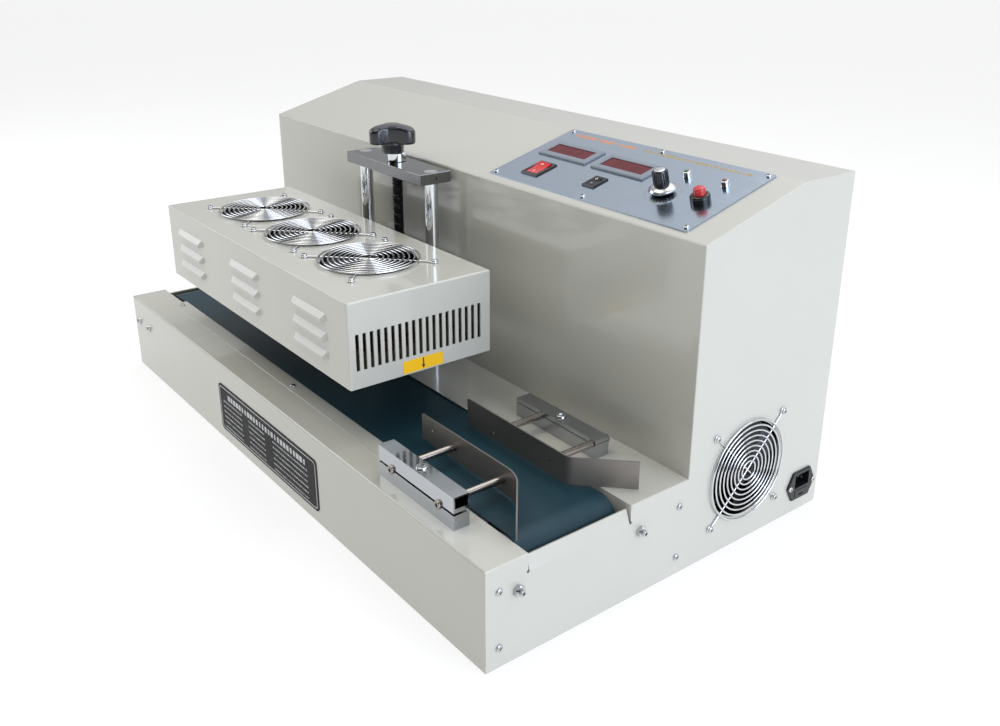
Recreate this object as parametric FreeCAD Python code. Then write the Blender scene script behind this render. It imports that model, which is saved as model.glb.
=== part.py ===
import FreeCAD, Part
import math
import os

# Table-top induction sealer with a belt conveyor, in millimetres.
# +X runs along the belt towards the discharge end, +Y towards the back, +Z up.
# Everything is laid out from the front left bottom corner of the base and moved
# by ORIGIN when it is written, so that the part's own origin is under its middle.

V = FreeCAD.Vector
X_DIR = V(1, 0, 0)
Y_DIR = V(0, 1, 0)
Z_DIR = V(0, 0, 1)

# Cabinet and base
LENGTH = 866.0
DEPTH = 475.0
HEIGHT = 387.0
DECK = 106.0
SHEET = 1.5
END_SHEET = 2.0
CAB_FRONT = 252.0
CAB_SHOULDER = 347.5
CAB_RIDGE = 394.0
SLOPE = math.degrees(math.atan2(HEIGHT - CAB_SHOULDER, CAB_RIDGE - CAB_FRONT))
BEND = 2.5
FIT = 0.05

# Belt and its slot in the deck
SLOT_Y = (47.0, 172.5)
BELT_Y = (51.75, 167.75)
BELT_T = 2.0
BELT_GAP = 0.3
ROLLER_R = 23.0
ROLLER_Y = (50.0, 169.5)
ROLLER_Z = 79.5
DRIVE_X = 36.6
IDLER_X = 828.0
SHAFT_R = 6.0
BELT_IN = ROLLER_R + BELT_GAP
BELT_UNDER = ROLLER_Z + BELT_IN
TAB_Z = 87.0
TAB_LEAN = 5.0
TAB_TOP = 101.0
TAB_RELIEF_R = 1.6
FLANGE_Z = 88.0
FLANGE_L = 58.0
BED_Y = (30.0, 189.5)
BED_RAIL_W = 16.0
BED_CLEAR = 4.0

# Supports, motor and belt tension
BEARING_X = (8.0, 65.0)
BEARING_BACK = 27.0
BEARING_Z = (58.0, 98.0)
BRACKET_X = (5.0, 75.0)
BRACKET_T = 4.0
BRACKET_FOOT = 25.0
MOTOR_Y = (190.0, 230.0, 312.0)
GEARBOX_HALF = 24.0
MOTOR_R = 22.0
SHAFT_IN_BOX = 30.0
SLIDER_X = (814.0, 842.0)
SLIDER_HALF_W = 7.0
SLIDER_BELOW = 13.0
SLIDER_ABOVE = 9.0
POST_X = (806.0, 852.0)
POST_WALL = 2.0
TENSION_TIP_X = 836.0

# Side strips beside the belt
STRIP_X = (73.0, 762.0)
STRIP_IN = (52.0, 167.5)
STRIP_W = 17.5
STRIP_T = 1.0
STRIP_SCREW_INSET = 11.0
STRIP_HOLE_R = 2.2
STRIP_SCREWS = (86.5, 431.0, 748.0)

# Sealing head
HEAD_X = (137.0, 612.5)
HEAD_Y = (19.5, 197.0)
HEAD_Z = (174.5, 269.0)
HEAD_SHEET = 1.5
HEAD_FANS = (240.5, 372.0, 503.5)
HEAD_FAN_Y = 109.5
VENT_COUNT = 19
VENT_Y = (29.5, 181.0)
VENT_W = 4.2
VENT_Z = (194.0, 234.0)
LOUVRE_X = (209.0, 370.0, 531.0)
LOUVRE_Z = (194.0, 215.0, 236.0)
LOUVRE_L = 72.0
LOUVRE_H = 9.0
LOUVRE_OUT = 4.5
LOUVRE_SKIN = 1.2
LOUVRE_TAPER = 4.0
BASE_PLATE_T = 8.0
COIL_X = (190.0, 560.0)
COIL_Y = (70.0, 149.0)
COIL_H = 10.0
COIL_BAND = 25.0
COIL_END_R = 30.0
FERRITE_COUNT = 7
FERRITE_W = 20.0
FERRITE_H = 12.0

# Lift: two columns, a bar over them, a screw between them
COLUMN_X = (305.0, 456.0)
COLUMN_Y = 226.0
COLUMN_R = 8.0
SCREW_X = (COLUMN_X[0] + COLUMN_X[1]) / 2
SCREW_R = 7.0
BAR_X = (294.5, 466.5)
BAR_Y = (204.0, 248.0)
BAR_Z = (331.5, 345.0)
BAR_HOLE_R = 2.5
CARRIAGE_Y = (HEAD_Y[1], 243.0)
CARRIAGE_Z = (186.0, 236.0)
CARRIAGE_WING = 19.0
BUSH_WALL = 3.0
NUT_WALL = 4.0
LOWER_BAR_Z = (88.0, DECK - SHEET)
KNOB_R = 31.0
KNOB_CORE_R = 15.0
KNOB_LOBES = 3
LOBE_R = 9.5
LOBE_TURN = 28.5
KNOB_DOME_R = 92.0
KNOB_Z = (371.5, 391.5)
HUB_R = 14.0
HUB_Z = 356.0
COLLAR_R = 12.0

# Axial fans and their wire guards
FAN_SIDE = 119.0
FAN_DEEP = 25.0
FAN_PITCH = 105.0
FAN_BORE_R = 57.5
FAN_HOLE_R = 54.0
FAN_HUB_R = 19.0
FAN_AXLE_R = 1.5
FAN_HOLE_SCREW_R = 2.15
FAN_BLADES = 7
BLADE_T = 1.6
BLADE_W = 26.0
BLADE_PITCH = 35.0
STRUT_W = 5.0
STRUT_T = 3.0
STRUT_TURN = 20.0
BLADE_R = 56.0
RINGS = 9
RING_R = (10.5, 56.5)
WIRE_R = 1.0
RING_RISE = 3.2
SPOKE_RISE = 1.5
EYE_R = 3.2
END_FAN_Y = 342.0
END_FAN_Z = 86.6

# Power inlet in the end plate
INLET_Y = 442.0
INLET_Z = 33.5
INLET_W = 48.0
INLET_H = 35.0
INLET_DEEP = 26.0
INLET_FLANGE = 3.0
INLET_SCREWS = (-20.0, 20.0)
INLET_BLADES = ((-7.0, 4.5), (7.0, 4.5), (0.0, 8.5))
SOCKET = (-12.3, 12.3, -2.5, 14.0)
SOCKET_DEEP = 16.0
DRAWER = (-11.0, 11.0, -14.5, -5.5)
DRAWER_DEEP = 20.0

# Guide rails and the clamps that hold their rods
ROD_X = (693.5, 774.0)
ROD_R = 3.8
ROD_Z = 122.5
GUIDE_Z = (107.5, 137.5)
GUIDE_T = 1.5
FRONT_GUIDE_Y = 91.0
REAR_GUIDE_Y = 148.5
GUIDE_X = 634.5
CLAMP_F_X = (670.0, 798.0)
CLAMP_F_Y = (15.5, 33.0)
CLAMP_F_TOP = 140.0
CLAMP_R_X = (650.0, 779.0)
CLAMP_R_Y = (205.0, 224.0)
CLAMP_R_TOP = 127.5
TUBE_WALL = 1.5
TUBE_FLOOR = 4.3
SEAM = 1.2
REAR_SEAM = 0.3
CLAMP_SCREW_R = 3.0
CLAMP_HEAD_R = 6.0
CLAMP_HEAD_H = 1.8
STOP_HEAD_R = 4.6
STOP_HEAD_H = 2.6
STUB_R = 1.5
STUB_DEEP = 7.0

# Each guide's bend: where it starts, its radius, its angle and the flat end's length
FRONT_BEND = (780.0, 45.0, 39.0, 50.0)
REAR_BEND = (795.0, 14.0, 44.0, 64.0)
FRONT_HOLE = (653.5, 124.0)
REAR_HOLE = (681.5, 115.0)

# Sloped control panel; places are (x, distance up the slope from its lower edge)
PANEL_X = (524.0, 832.0)
PANEL_S = (10.5, 145.0)
PANEL_T = 1.5
PANEL_SCREWS_X = (530.5, 679.0, 825.5)
PANEL_SCREWS_S = (16.8, 139.0)
PANEL_WINDOW = (540.0, 817.0, 23.0, 127.0)
DISPLAYS = ((579.5, 91.5), (671.0, 90.5))
DISPLAY_W = 80.0
DISPLAY_H = 34.0
GLASS_W = 65.0
GLASS_H = 20.0
POWER_SWITCH = (576.5, 43.5, 27.0, 32.0)
MODE_SWITCH = (666.0, 47.5, 18.0, 23.0)
POT = (752.0, 62.5)
BUTTON = (800.5, 65.5)
LAMPS = ((749.0, 102.5), (800.0, 102.5))
BEZEL_H = 2.5
BEZEL_DEEP = 30.0
GLASS_DEEP = 4.0
GLASS_TOP = 1.7
ROCKER_AXIS = PANEL_T - 2.0
ROCKER_TILT = 8.0
ROCKER_PIN_R = 1.2
POT_SKIRT_R = 14.5
POT_SKIRT_H = 8.0
POT_GRIP_R = (8.4, 7.7)
POT_TOP = 27.0
POT_AXLE_R = 3.0
BUTTON_R = 6.3
BUTTON_BORE_R = 6.7
BUTTON_TOP = 15.5
COLLAR_R_OUT = 10.5
COLLAR_H = 8.0
THREAD_R = 8.0
LAMP_R = 4.4
LAMP_H = 6.5
LAMP_BORE_R = 2.7

# Electronics inside the cabinet
BOARD_X = (300.0, 620.0)
BOARD_Y = (300.0, 430.0)
BOARD_Z = 12.0
SINK_INSET = (60.0, 20.0)
SINK_Z = (14.0, 24.0, 64.0)
FIN_PITCH = 10.0
FIN_T = 2.5

# Nameplate, label and small screws
PLATE_X = (304.0, 562.5)
PLATE_Z = (14.5, 78.5)
PLATE_T = 0.8
LABEL_Y = (82.5, 132.5)
LABEL_Z = (176.0, 190.0)
LABEL_T = 0.3
END_SCREWS = ((14.5, 80.5), (14.5, 21.5), (240.5, 79.5), (240.5, 20.5))
BEARING_BOLTS_X = (17.3, 55.9)
BEARING_BOLTS_Z = 72.0
TENSION_Y = (35.5, 186.0)
TENSION_Z = 73.5
PAN_R = 3.6
PAN_H = 2.2
NUT_R = 5.8
NUT_H = 5.0
ADJUSTER_REACH = 8.5
BOLT_R = 3.0
BOLT_REACH = 3.3
ORIGIN = V((LENGTH + ADJUSTER_REACH - PAN_H) / 2, (DEPTH - BOLT_REACH) / 2, 0)


# ---------------------------------------------------------------- helpers

def block(x, y, z):
    """A box between two limits on each axis."""
    return Part.makeBox(x[1] - x[0], y[1] - y[0], z[1] - z[0], V(x[0], y[0], z[0]))


def rod(foot, along, radius, length):
    """A cylinder from its foot along a direction."""
    return Part.makeCylinder(radius, length, foot, along)


def prism(points, along):
    """A flat outline swept straight."""
    outline = Part.makePolygon(points + [points[0]])
    return Part.Face(outline).extrude(along)


def fuse(shapes):
    """Several shapes as one solid."""
    body = shapes[0].fuse(list(shapes[1:]))
    return body.removeSplitter()


def round_edges(shape, radius, wanted):
    """Rounds the edges whose middle passes a test."""
    edges = [e for e in shape.Edges if wanted(e, e.valueAt((e.FirstParameter + e.LastParameter) / 2))]
    return shape.makeFillet(radius, edges)


def is_along(edge, direction):
    """True for a straight edge that runs along a direction."""
    if not isinstance(edge.Curve, Part.Line):
        return False
    return abs(abs(edge.Curve.Direction.dot(direction)) - 1) < 1e-6


def near(value, target):
    return abs(value - target) < 0.05


def rounded_plate(x, y, z, radius):
    """A flat plate with its four upright edges rounded."""
    return round_edges(block(x, y, z), radius, lambda e, m: is_along(e, Z_DIR))


def bent_sheet(path, thickness):
    """Outline of a bent sheet in the YZ plane: a path and its mitred offset to the right."""
    normals = []
    for a, b in zip(path, path[1:]):
        run = V(0, b[0] - a[0], b[1] - a[1]).normalize()
        normals.append((run.z, -run.y))
    inner = []
    for i, point in enumerate(path):
        before = normals[max(i - 1, 0)]
        after = normals[min(i, len(normals) - 1)]
        scale = thickness / (1 + before[0] * after[0] + before[1] * after[1])
        inner.append((point[0] + (before[0] + after[0]) * scale, point[1] + (before[1] + after[1]) * scale))
    return list(path) + inner[::-1]


def along_x(outline, x):
    """A YZ outline swept between two x limits."""
    points = [V(x[0], y, z) for y, z in outline]
    return prism(points, V(x[1] - x[0], 0, 0))


def stand(shape, place, direction):
    """Turns a shape made along +Z to a direction and moves it to its place."""
    turned = shape.copy()
    turned.Placement = FreeCAD.Placement(place, FreeCAD.Rotation(Z_DIR, direction)).multiply(shape.Placement)
    return turned


def on_slope(shape):
    """Lays a shape made as (x, up the slope, out of it) on the cabinet's sloped face."""
    laid = shape.copy()
    laid.rotate(V(0, 0, 0), X_DIR, SLOPE)
    laid.translate(V(0, CAB_FRONT, CAB_SHOULDER))
    return laid


def pan_screw(radius, height, shank):
    """A cross-recessed pan head screw standing on z = 0, shank below."""
    head = rod(V(0, 0, 0), Z_DIR, radius, height)
    head = round_edges(head, height * 0.6, lambda e, m: near(m.z, height))
    arm = radius * 0.55
    slot = radius * 0.13
    deep = height * 0.5
    cross = block((-arm, arm), (-slot, slot), (height - deep, height + 1))
    cross = cross.fuse(block((-slot, slot), (-arm, arm), (height - deep, height + 1)))
    return head.cut(cross).fuse(rod(V(0, 0, -shank), Z_DIR, radius * 0.5, shank))


def socket_screw(radius, height, shank_radius, shank):
    """A button head screw with a hexagon socket, standing on z = 0."""
    head = rod(V(0, 0, 0), Z_DIR, radius, height)
    head = round_edges(head, height * 0.55, lambda e, m: near(m.z, height))
    socket = hexagon(radius * 0.5, height).translated(V(0, 0, height * 0.4))
    return head.cut(socket).fuse(rod(V(0, 0, -shank), Z_DIR, shank_radius, shank))


def hexagon(radius, height):
    """A hexagonal prism standing on z = 0, radius to its corners."""
    points = [V(radius * math.cos(math.radians(60 * i)), radius * math.sin(math.radians(60 * i)), 0)
              for i in range(6)]
    return prism(points, V(0, 0, height))


def lock_nut():
    """A chamfered hexagon nut standing on z = 0."""
    crown = Part.makeCone(NUT_R * 1.35, NUT_R * 0.85, NUT_H, V(0, 0, 0), Z_DIR)
    return hexagon(NUT_R, NUT_H).common(crown).cut(rod(V(0, 0, -1), Z_DIR, BOLT_R, NUT_H + 2))


def adjuster(reach, shank):
    """A socket set screw along z, its end at reach and its tip at minus shank."""
    stud = rod(V(0, 0, -shank), Z_DIR, BOLT_R, reach + shank)
    stud = stud.makeChamfer(0.5, [e for e in stud.Edges if near(e.CenterOfMass.z, reach)])
    return stud.cut(hexagon(BOLT_R * 0.6, BOLT_R).translated(V(0, 0, reach - BOLT_R * 0.8)))


def save(name, *shapes):
    """Writes one sub-part, moved to the part's own origin."""
    body = shapes[0] if len(shapes) == 1 else Part.makeCompound(list(shapes))
    body = body.copy()
    body.translate(V(0, 0, 0) - ORIGIN)
    bad = [s for s in body.Solids if not s.isValid()]
    if bad or not body.Solids:
        print("PROBLEM", name, len(bad), "invalid of", len(body.Solids))
    body.exportStep(os.path.join("parts", name + ".step"))
    return body.BoundBox


# ---------------------------------------------------------------- sheet metal of the base

def end_outline():
    """The L-shaped side of the machine, with the gap where the belt shows."""
    return [(0, 0), (DEPTH, 0), (DEPTH, HEIGHT), (CAB_RIDGE, HEIGHT), (CAB_FRONT, CAB_SHOULDER),
            (CAB_FRONT, DECK), (SLOT_Y[1], DECK), (SLOT_Y[1], TAB_Z), (SLOT_Y[0], TAB_Z),
            (SLOT_Y[0], DECK), (0, DECK)]


def end_plate(outer, inward):
    """An end plate whose lip under the belt leans inward; inward is +1 or -1 along x."""
    inner = outer + inward * END_SHEET
    x = (min(outer, inner), max(outer, inner))
    plate = along_x(end_outline(), x)
    softened = round_edges(plate, 1.2, lambda e, m: near(m.x, outer) and m.z > DECK - 0.1)
    lip_y = (SLOT_Y[0] + TAB_RELIEF_R, SLOT_Y[1] - TAB_RELIEF_R)
    lean = inward * TAB_LEAN
    profile = [V(outer, lip_y[0], TAB_Z), V(outer + lean, lip_y[0], TAB_TOP),
               V(inner + lean, lip_y[0], TAB_TOP - 0.6), V(inner, lip_y[0], TAB_Z)]
    lip = prism(profile, V(0, lip_y[1] - lip_y[0], 0))
    plate = softened.fuse(lip)
    for y in SLOT_Y:
        plate = plate.cut(rod(V(x[0] - 1, y, TAB_Z), X_DIR, TAB_RELIEF_R, END_SHEET + 2))
    for y, z in END_SCREWS:
        plate = plate.cut(rod(V(x[0] - 1, y, z), X_DIR, PAN_R * 0.55, END_SHEET + 2))
    return plate


def end_plate_right():
    """Adds the fan opening, the inlet cut-out and the tension bolts' holes."""
    plate = end_plate(LENGTH, -1)
    x0 = LENGTH - END_SHEET - 1
    deep = END_SHEET + 2
    plate = plate.cut(rod(V(x0, END_FAN_Y, END_FAN_Z), X_DIR, FAN_HOLE_R, deep))
    for dy, dz in fan_corners():
        plate = plate.cut(rod(V(x0, END_FAN_Y + dy, END_FAN_Z + dz), X_DIR, 2.2, deep))
    plate = plate.cut(along_x(inlet_outline(-1.5), (x0, x0 + deep)))
    for dy in INLET_SCREWS:
        plate = plate.cut(rod(V(x0, INLET_Y + dy, INLET_Z), X_DIR, 1.8, deep))
    for y in TENSION_Y:
        plate = plate.cut(rod(V(x0, y, TENSION_Z), X_DIR, BOLT_R + 0.5, deep))
    return plate


def strip_holes(shape, y, z):
    """Cuts the holes of one row of strip screws, upwards from z."""
    for x in STRIP_SCREWS:
        shape = shape.cut(rod(V(x, y, z), Z_DIR, STRIP_HOLE_R, SHEET + 2))
    return shape


def slot_flanges(edge_y, away):
    """Flanges folded down from a slot edge beside each roller."""
    y = (min(edge_y, edge_y + away * SHEET), max(edge_y, edge_y + away * SHEET))
    left = (END_SHEET, END_SHEET + FLANGE_L)
    right = (LENGTH - END_SHEET - FLANGE_L, LENGTH - END_SHEET)
    return [block(x, y, (FLANGE_Z, DECK - SHEET)) for x in (left, right)]


def front_cover():
    """Front wall and the deck in front of the belt, one bent sheet."""
    x = (END_SHEET, LENGTH - END_SHEET)
    outline = bent_sheet([(0, 0), (0, DECK), (SLOT_Y[0], DECK)], SHEET)
    cover = along_x(outline, x)
    cover = round_edges(cover, BEND, lambda e, m: is_along(e, X_DIR) and near(m.y, 0) and near(m.z, DECK))
    cover = fuse([cover] + slot_flanges(SLOT_Y[0], -1))
    for bx in BEARING_BOLTS_X:
        cover = cover.cut(rod(V(bx, -1, BEARING_BOLTS_Z), Y_DIR, BOLT_R + 0.3, SHEET + 2))
    return strip_holes(cover, STRIP_IN[0] - STRIP_SCREW_INSET, DECK - SHEET - 1)


def rear_deck():
    """Deck between the belt and the cabinet."""
    deck = block((END_SHEET, LENGTH - END_SHEET), (SLOT_Y[1], CAB_FRONT), (DECK - SHEET, DECK))
    deck = fuse([deck] + slot_flanges(SLOT_Y[1], 1))
    for x in COLUMN_X:
        deck = deck.cut(rod(V(x, COLUMN_Y, DECK - SHEET - 1), Z_DIR, COLUMN_R + 0.5, SHEET + 2))
    deck = deck.cut(rod(V(SCREW_X, COLUMN_Y, DECK - SHEET - 1), Z_DIR, SCREW_R + 0.5, SHEET + 2))
    return strip_holes(deck, STRIP_IN[1] + STRIP_SCREW_INSET, DECK - SHEET - 1)


def bottom_pan():
    return block((END_SHEET, LENGTH - END_SHEET), (SHEET, DEPTH - SHEET), (0, SHEET))


def cabinet_shell():
    """Front wall, sloped face and top of the cabinet, one bent sheet, open under the panel."""
    x = (END_SHEET, LENGTH - END_SHEET)
    path = [(CAB_FRONT, DECK - SHEET), (CAB_FRONT, CAB_SHOULDER), (CAB_RIDGE, HEIGHT),
            (DEPTH - SHEET, HEIGHT)]
    shell = along_x(bent_sheet(path, SHEET), x)
    shell = round_edges(shell, BEND, lambda e, m: is_along(e, X_DIR) and near(m.y, CAB_FRONT)
                        and near(m.z, CAB_SHOULDER))
    w = PANEL_WINDOW
    shell = shell.cut(on_slope(block((w[0], w[1]), (w[2], w[3]), (-SHEET - 2, 1))))
    for sx in PANEL_SCREWS_X:
        for ss in PANEL_SCREWS_S:
            shell = shell.cut(on_slope(rod(V(sx, ss, -SHEET - 2), Z_DIR, 1.7, SHEET + 3)))
    return shell


def back_panel():
    return block((END_SHEET, LENGTH - END_SHEET), (DEPTH - SHEET, DEPTH), (0, HEIGHT))


def side_strip(inner_y, away):
    """Flat strip on the deck that covers the gap beside the belt."""
    outer_y = inner_y + away * STRIP_W
    y = (min(inner_y, outer_y), max(inner_y, outer_y))
    strip = block(STRIP_X, y, (DECK, DECK + STRIP_T))
    return strip_holes(strip, inner_y + away * STRIP_SCREW_INSET, DECK - 1)


def strip_screws():
    screws = []
    for sx in STRIP_SCREWS:
        for y in (STRIP_IN[0] - STRIP_SCREW_INSET, STRIP_IN[1] + STRIP_SCREW_INSET):
            screws.append(stand(pan_screw(PAN_R, PAN_H, 4.0), V(sx, y, DECK + STRIP_T), Z_DIR))
    return screws


# ---------------------------------------------------------------- belt drive

def stadium(radius, y):
    """The space inside a belt path of one radius round both rollers."""
    middle = block((DRIVE_X, IDLER_X), y, (ROLLER_Z - radius, ROLLER_Z + radius))
    ends = [rod(V(x, y[0], ROLLER_Z), Y_DIR, radius, y[1] - y[0]) for x in (DRIVE_X, IDLER_X)]
    return fuse([middle] + ends)


def conveyor_belt():
    inside = stadium(BELT_IN, (BELT_Y[0] - 1, BELT_Y[1] + 1))
    return stadium(BELT_IN + BELT_T, BELT_Y).cut(inside)


def belt_bed():
    """Slider plate under the carrying run, hung from the deck by two spacer rails."""
    bed_x = (DRIVE_X + BELT_IN + BED_CLEAR, IDLER_X - BELT_IN - BED_CLEAR)
    plate = block(bed_x, BED_Y, (BELT_UNDER - SHEET, BELT_UNDER))
    rails_y = ((BED_Y[0], BED_Y[0] + BED_RAIL_W), (BED_Y[1] - BED_RAIL_W, BED_Y[1]))
    rails = [block(bed_x, y, (BELT_UNDER, DECK - SHEET)) for y in rails_y]
    bed = fuse([plate] + rails)
    for y in (STRIP_IN[0] - STRIP_SCREW_INSET, STRIP_IN[1] + STRIP_SCREW_INSET):
        bed = strip_holes(bed, y, BELT_UNDER)
    return bed


def roller(x, shaft_y):
    body = rod(V(x, ROLLER_Y[0], ROLLER_Z), Y_DIR, ROLLER_R, ROLLER_Y[1] - ROLLER_Y[0])
    body = body.makeChamfer(1.0, body.Edges)
    return body.fuse(rod(V(x, shaft_y[0], ROLLER_Z), Y_DIR, SHAFT_R, shaft_y[1] - shaft_y[0]))


def bored(shape, x, y):
    """Cuts a running fit for a roller shaft."""
    return shape.cut(rod(V(x, y[0], ROLLER_Z), Y_DIR, SHAFT_R + FIT, y[1] - y[0]))


def drive_bearing_block():
    """Block bolted to the front wall from outside."""
    y = (SHEET, BEARING_BACK)
    body = bored(block(BEARING_X, y, BEARING_Z), DRIVE_X, (y[0] + 2, y[1]))
    for bx in BEARING_BOLTS_X:
        body = body.cut(rod(V(bx, y[0], BEARING_BOLTS_Z), Y_DIR, BOLT_R, 12))
    return body


def bearing_bolts():
    bolt = socket_screw(5.0, BOLT_REACH, BOLT_R, SHEET + 11)
    return [stand(bolt, V(bx, 0, BEARING_BOLTS_Z), V(0, -1, 0)) for bx in BEARING_BOLTS_X]


def drive_bracket():
    """Upright plate on the pan that carries the gearmotor and the rear end of the shaft."""
    y = (MOTOR_Y[0] - BRACKET_T, MOTOR_Y[0])
    upright = block(BRACKET_X, y, (SHEET, BEARING_Z[1]))
    foot = block(BRACKET_X, (y[1], y[1] + BRACKET_FOOT), (SHEET, SHEET + BRACKET_T))
    return bored(fuse([upright, foot]), DRIVE_X, (y[0] - 1, y[1] + 1))


def gearmotor():
    """Gearbox with a bored output and a round motor behind it."""
    half = GEARBOX_HALF
    box = rounded_plate((-half, half), (-half, half), (0, MOTOR_Y[1] - MOTOR_Y[0]), 4.0)
    box = stand(box, V(DRIVE_X, MOTOR_Y[0], ROLLER_Z), Y_DIR)
    motor = rod(V(DRIVE_X, MOTOR_Y[1], ROLLER_Z), Y_DIR, MOTOR_R, MOTOR_Y[2] - MOTOR_Y[1])
    return bored(fuse([box, motor]), DRIVE_X, (MOTOR_Y[0] - 1, MOTOR_Y[0] + SHAFT_IN_BOX + 1))


def tension_parts():
    """For each end of the idler shaft: sliding block, support post and tension bolt."""
    blocks, posts, bolts = [], [], []
    for y in TENSION_Y:
        wide = (y - SLIDER_HALF_W, y + SLIDER_HALF_W)
        over = (wide[0] - 1, wide[1] + 1)
        floor = ROLLER_Z - SLIDER_BELOW
        slider = bored(block(SLIDER_X, wide, (floor, ROLLER_Z + SLIDER_ABOVE)), IDLER_X, over)
        blocks.append(slider.cut(rod(V(TENSION_TIP_X, y, TENSION_Z), X_DIR, BOLT_R, LENGTH - TENSION_TIP_X)))
        post = block(POST_X, wide, (SHEET, floor))
        hollow = block((POST_X[0] + POST_WALL, POST_X[1] - POST_WALL), (wide[0] - 1, wide[1] - POST_WALL),
                       (SHEET + POST_WALL, floor - POST_WALL))
        posts.append(post.cut(hollow))
        stud = adjuster(ADJUSTER_REACH, LENGTH - TENSION_TIP_X)
        bolts.append(stand(stud, V(LENGTH, y, TENSION_Z), X_DIR))
        bolts.append(stand(lock_nut(), V(LENGTH, y, TENSION_Z), X_DIR))
    return blocks, posts, bolts


# ---------------------------------------------------------------- fans, guards, inlet

def fan_corners():
    half = FAN_PITCH / 2
    return [(-half, -half), (half, -half), (half, half), (-half, half)]


def fan_frame():
    """Square fan housing, its outer face on z = 0 and its body below."""
    half = FAN_SIDE / 2
    frame = rounded_plate((-half, half), (-half, half), (-FAN_DEEP, 0), 6.0)
    frame = frame.cut(rod(V(0, 0, -FAN_DEEP - 1), Z_DIR, FAN_BORE_R, FAN_DEEP + 2))
    for dx, dy in fan_corners():
        frame = frame.cut(rod(V(dx, dy, -FAN_DEEP - 1), Z_DIR, FAN_HOLE_SCREW_R, FAN_DEEP + 2))
    strut_z = (-FAN_DEEP, -FAN_DEEP + STRUT_T)
    hub = rod(V(0, 0, strut_z[0]), Z_DIR, FAN_HUB_R, strut_z[1] - strut_z[0])
    wide = (-STRUT_W / 2, STRUT_W / 2)
    across = (-FAN_BORE_R - 1, FAN_BORE_R + 1)
    struts = block(across, wide, strut_z).fuse(block(wide, across, strut_z))
    struts.rotate(V(0, 0, 0), Z_DIR, STRUT_TURN)
    axle = rod(V(0, 0, strut_z[1]), Z_DIR, FAN_AXLE_R, 12)
    return fuse([frame, hub, struts, axle])


def fan_impeller():
    """Hub cup with slanted blades, 1 mm inside the housing at both faces."""
    z = (-FAN_DEEP + 4, -1.0)
    hub = rod(V(0, 0, z[0]), Z_DIR, FAN_HUB_R, z[1] - z[0])
    hub = round_edges(hub, 1.5, lambda e, m: near(m.z, z[1]))
    hub = hub.cut(rod(V(0, 0, z[0] - 1), Z_DIR, FAN_AXLE_R + FIT, 13.2))
    middle = (z[0] + z[1]) / 2
    blades = []
    for i in range(FAN_BLADES):
        blade = block((FAN_HUB_R - 2, BLADE_R), (-BLADE_W / 2, BLADE_W / 2),
                      (middle - BLADE_T / 2, middle + BLADE_T / 2))
        blade.rotate(V(0, 0, middle), X_DIR, BLADE_PITCH)
        blade.rotate(V(0, 0, 0), Z_DIR, 360.0 * i / FAN_BLADES)
        blades.append(blade)
    inside = rod(V(0, 0, z[0]), Z_DIR, BLADE_R, z[1] - z[0])
    return fuse([hub] + blades).common(inside)


def wire_guard():
    """Welded wire guard standing on z = 0: rings over crossed spokes that end in screw eyes."""
    step = (RING_R[1] - RING_R[0]) / (RINGS - 1)
    wires = [Part.makeTorus(RING_R[0] + step * i, WIRE_R, V(0, 0, RING_RISE), Z_DIR) for i in range(RINGS)]
    reach = FAN_PITCH / math.sqrt(2)
    bend = RING_R[1] + 2.5
    eye_z = WIRE_R
    for i in range(4):
        turn = 45 + 90 * i
        out = V(math.cos(math.radians(turn)), math.sin(math.radians(turn)), 0)
        knee = out * bend + V(0, 0, SPOKE_RISE)
        eye = out * reach + V(0, 0, eye_z)
        tip = out * (reach - EYE_R) + V(0, 0, eye_z)
        wires.append(rod(V(0, 0, SPOKE_RISE), out, WIRE_R, bend))
        wires.append(Part.makeSphere(WIRE_R, knee))
        wires.append(rod(knee, tip - knee, WIRE_R, (tip - knee).Length))
        wires.append(Part.makeTorus(EYE_R, WIRE_R, eye, Z_DIR))
    return wires[0].fuse(wires[1:])


def fan_screws():
    """Screws through the guard's eyes, standing on z = 0."""
    screw = pan_screw(PAN_R, PAN_H, 2 * WIRE_R + 14)
    return [screw.translated(V(dx, dy, 2 * WIRE_R)) for dx, dy in fan_corners()]


def at_head_fans(shapes):
    """Copies of shapes at the three fans on the head's top."""
    return [s.translated(V(x, HEAD_FAN_Y, HEAD_Z[1])) for x in HEAD_FANS for s in shapes]


def under_skin(shape):
    """A fan part moved from the outer face to the inner face of the head's sheet."""
    return shape.translated(V(0, 0, -HEAD_SHEET))


def at_end_fan(shape, inset):
    """A fan part turned to the end plate, inset from its outer face."""
    return stand(shape, V(LENGTH - inset, END_FAN_Y, END_FAN_Z), X_DIR)


def inlet_outline(grow):
    """Six-sided flange with its points at the two screws."""
    w = INLET_W / 2 + grow
    c = 14.5 + grow * 0.6
    h = INLET_H / 2 + grow
    corners = [(-w, 0), (-c, -h), (c, -h), (w, 0), (c, h), (-c, h)]
    return [(INLET_Y + y, INLET_Z + z) for y, z in corners]


def inlet_space(space, x):
    """A box given as y and z limits about the inlet's middle."""
    return block(x, (INLET_Y + space[0], INLET_Y + space[1]), (INLET_Z + space[2], INLET_Z + space[3]))


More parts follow.
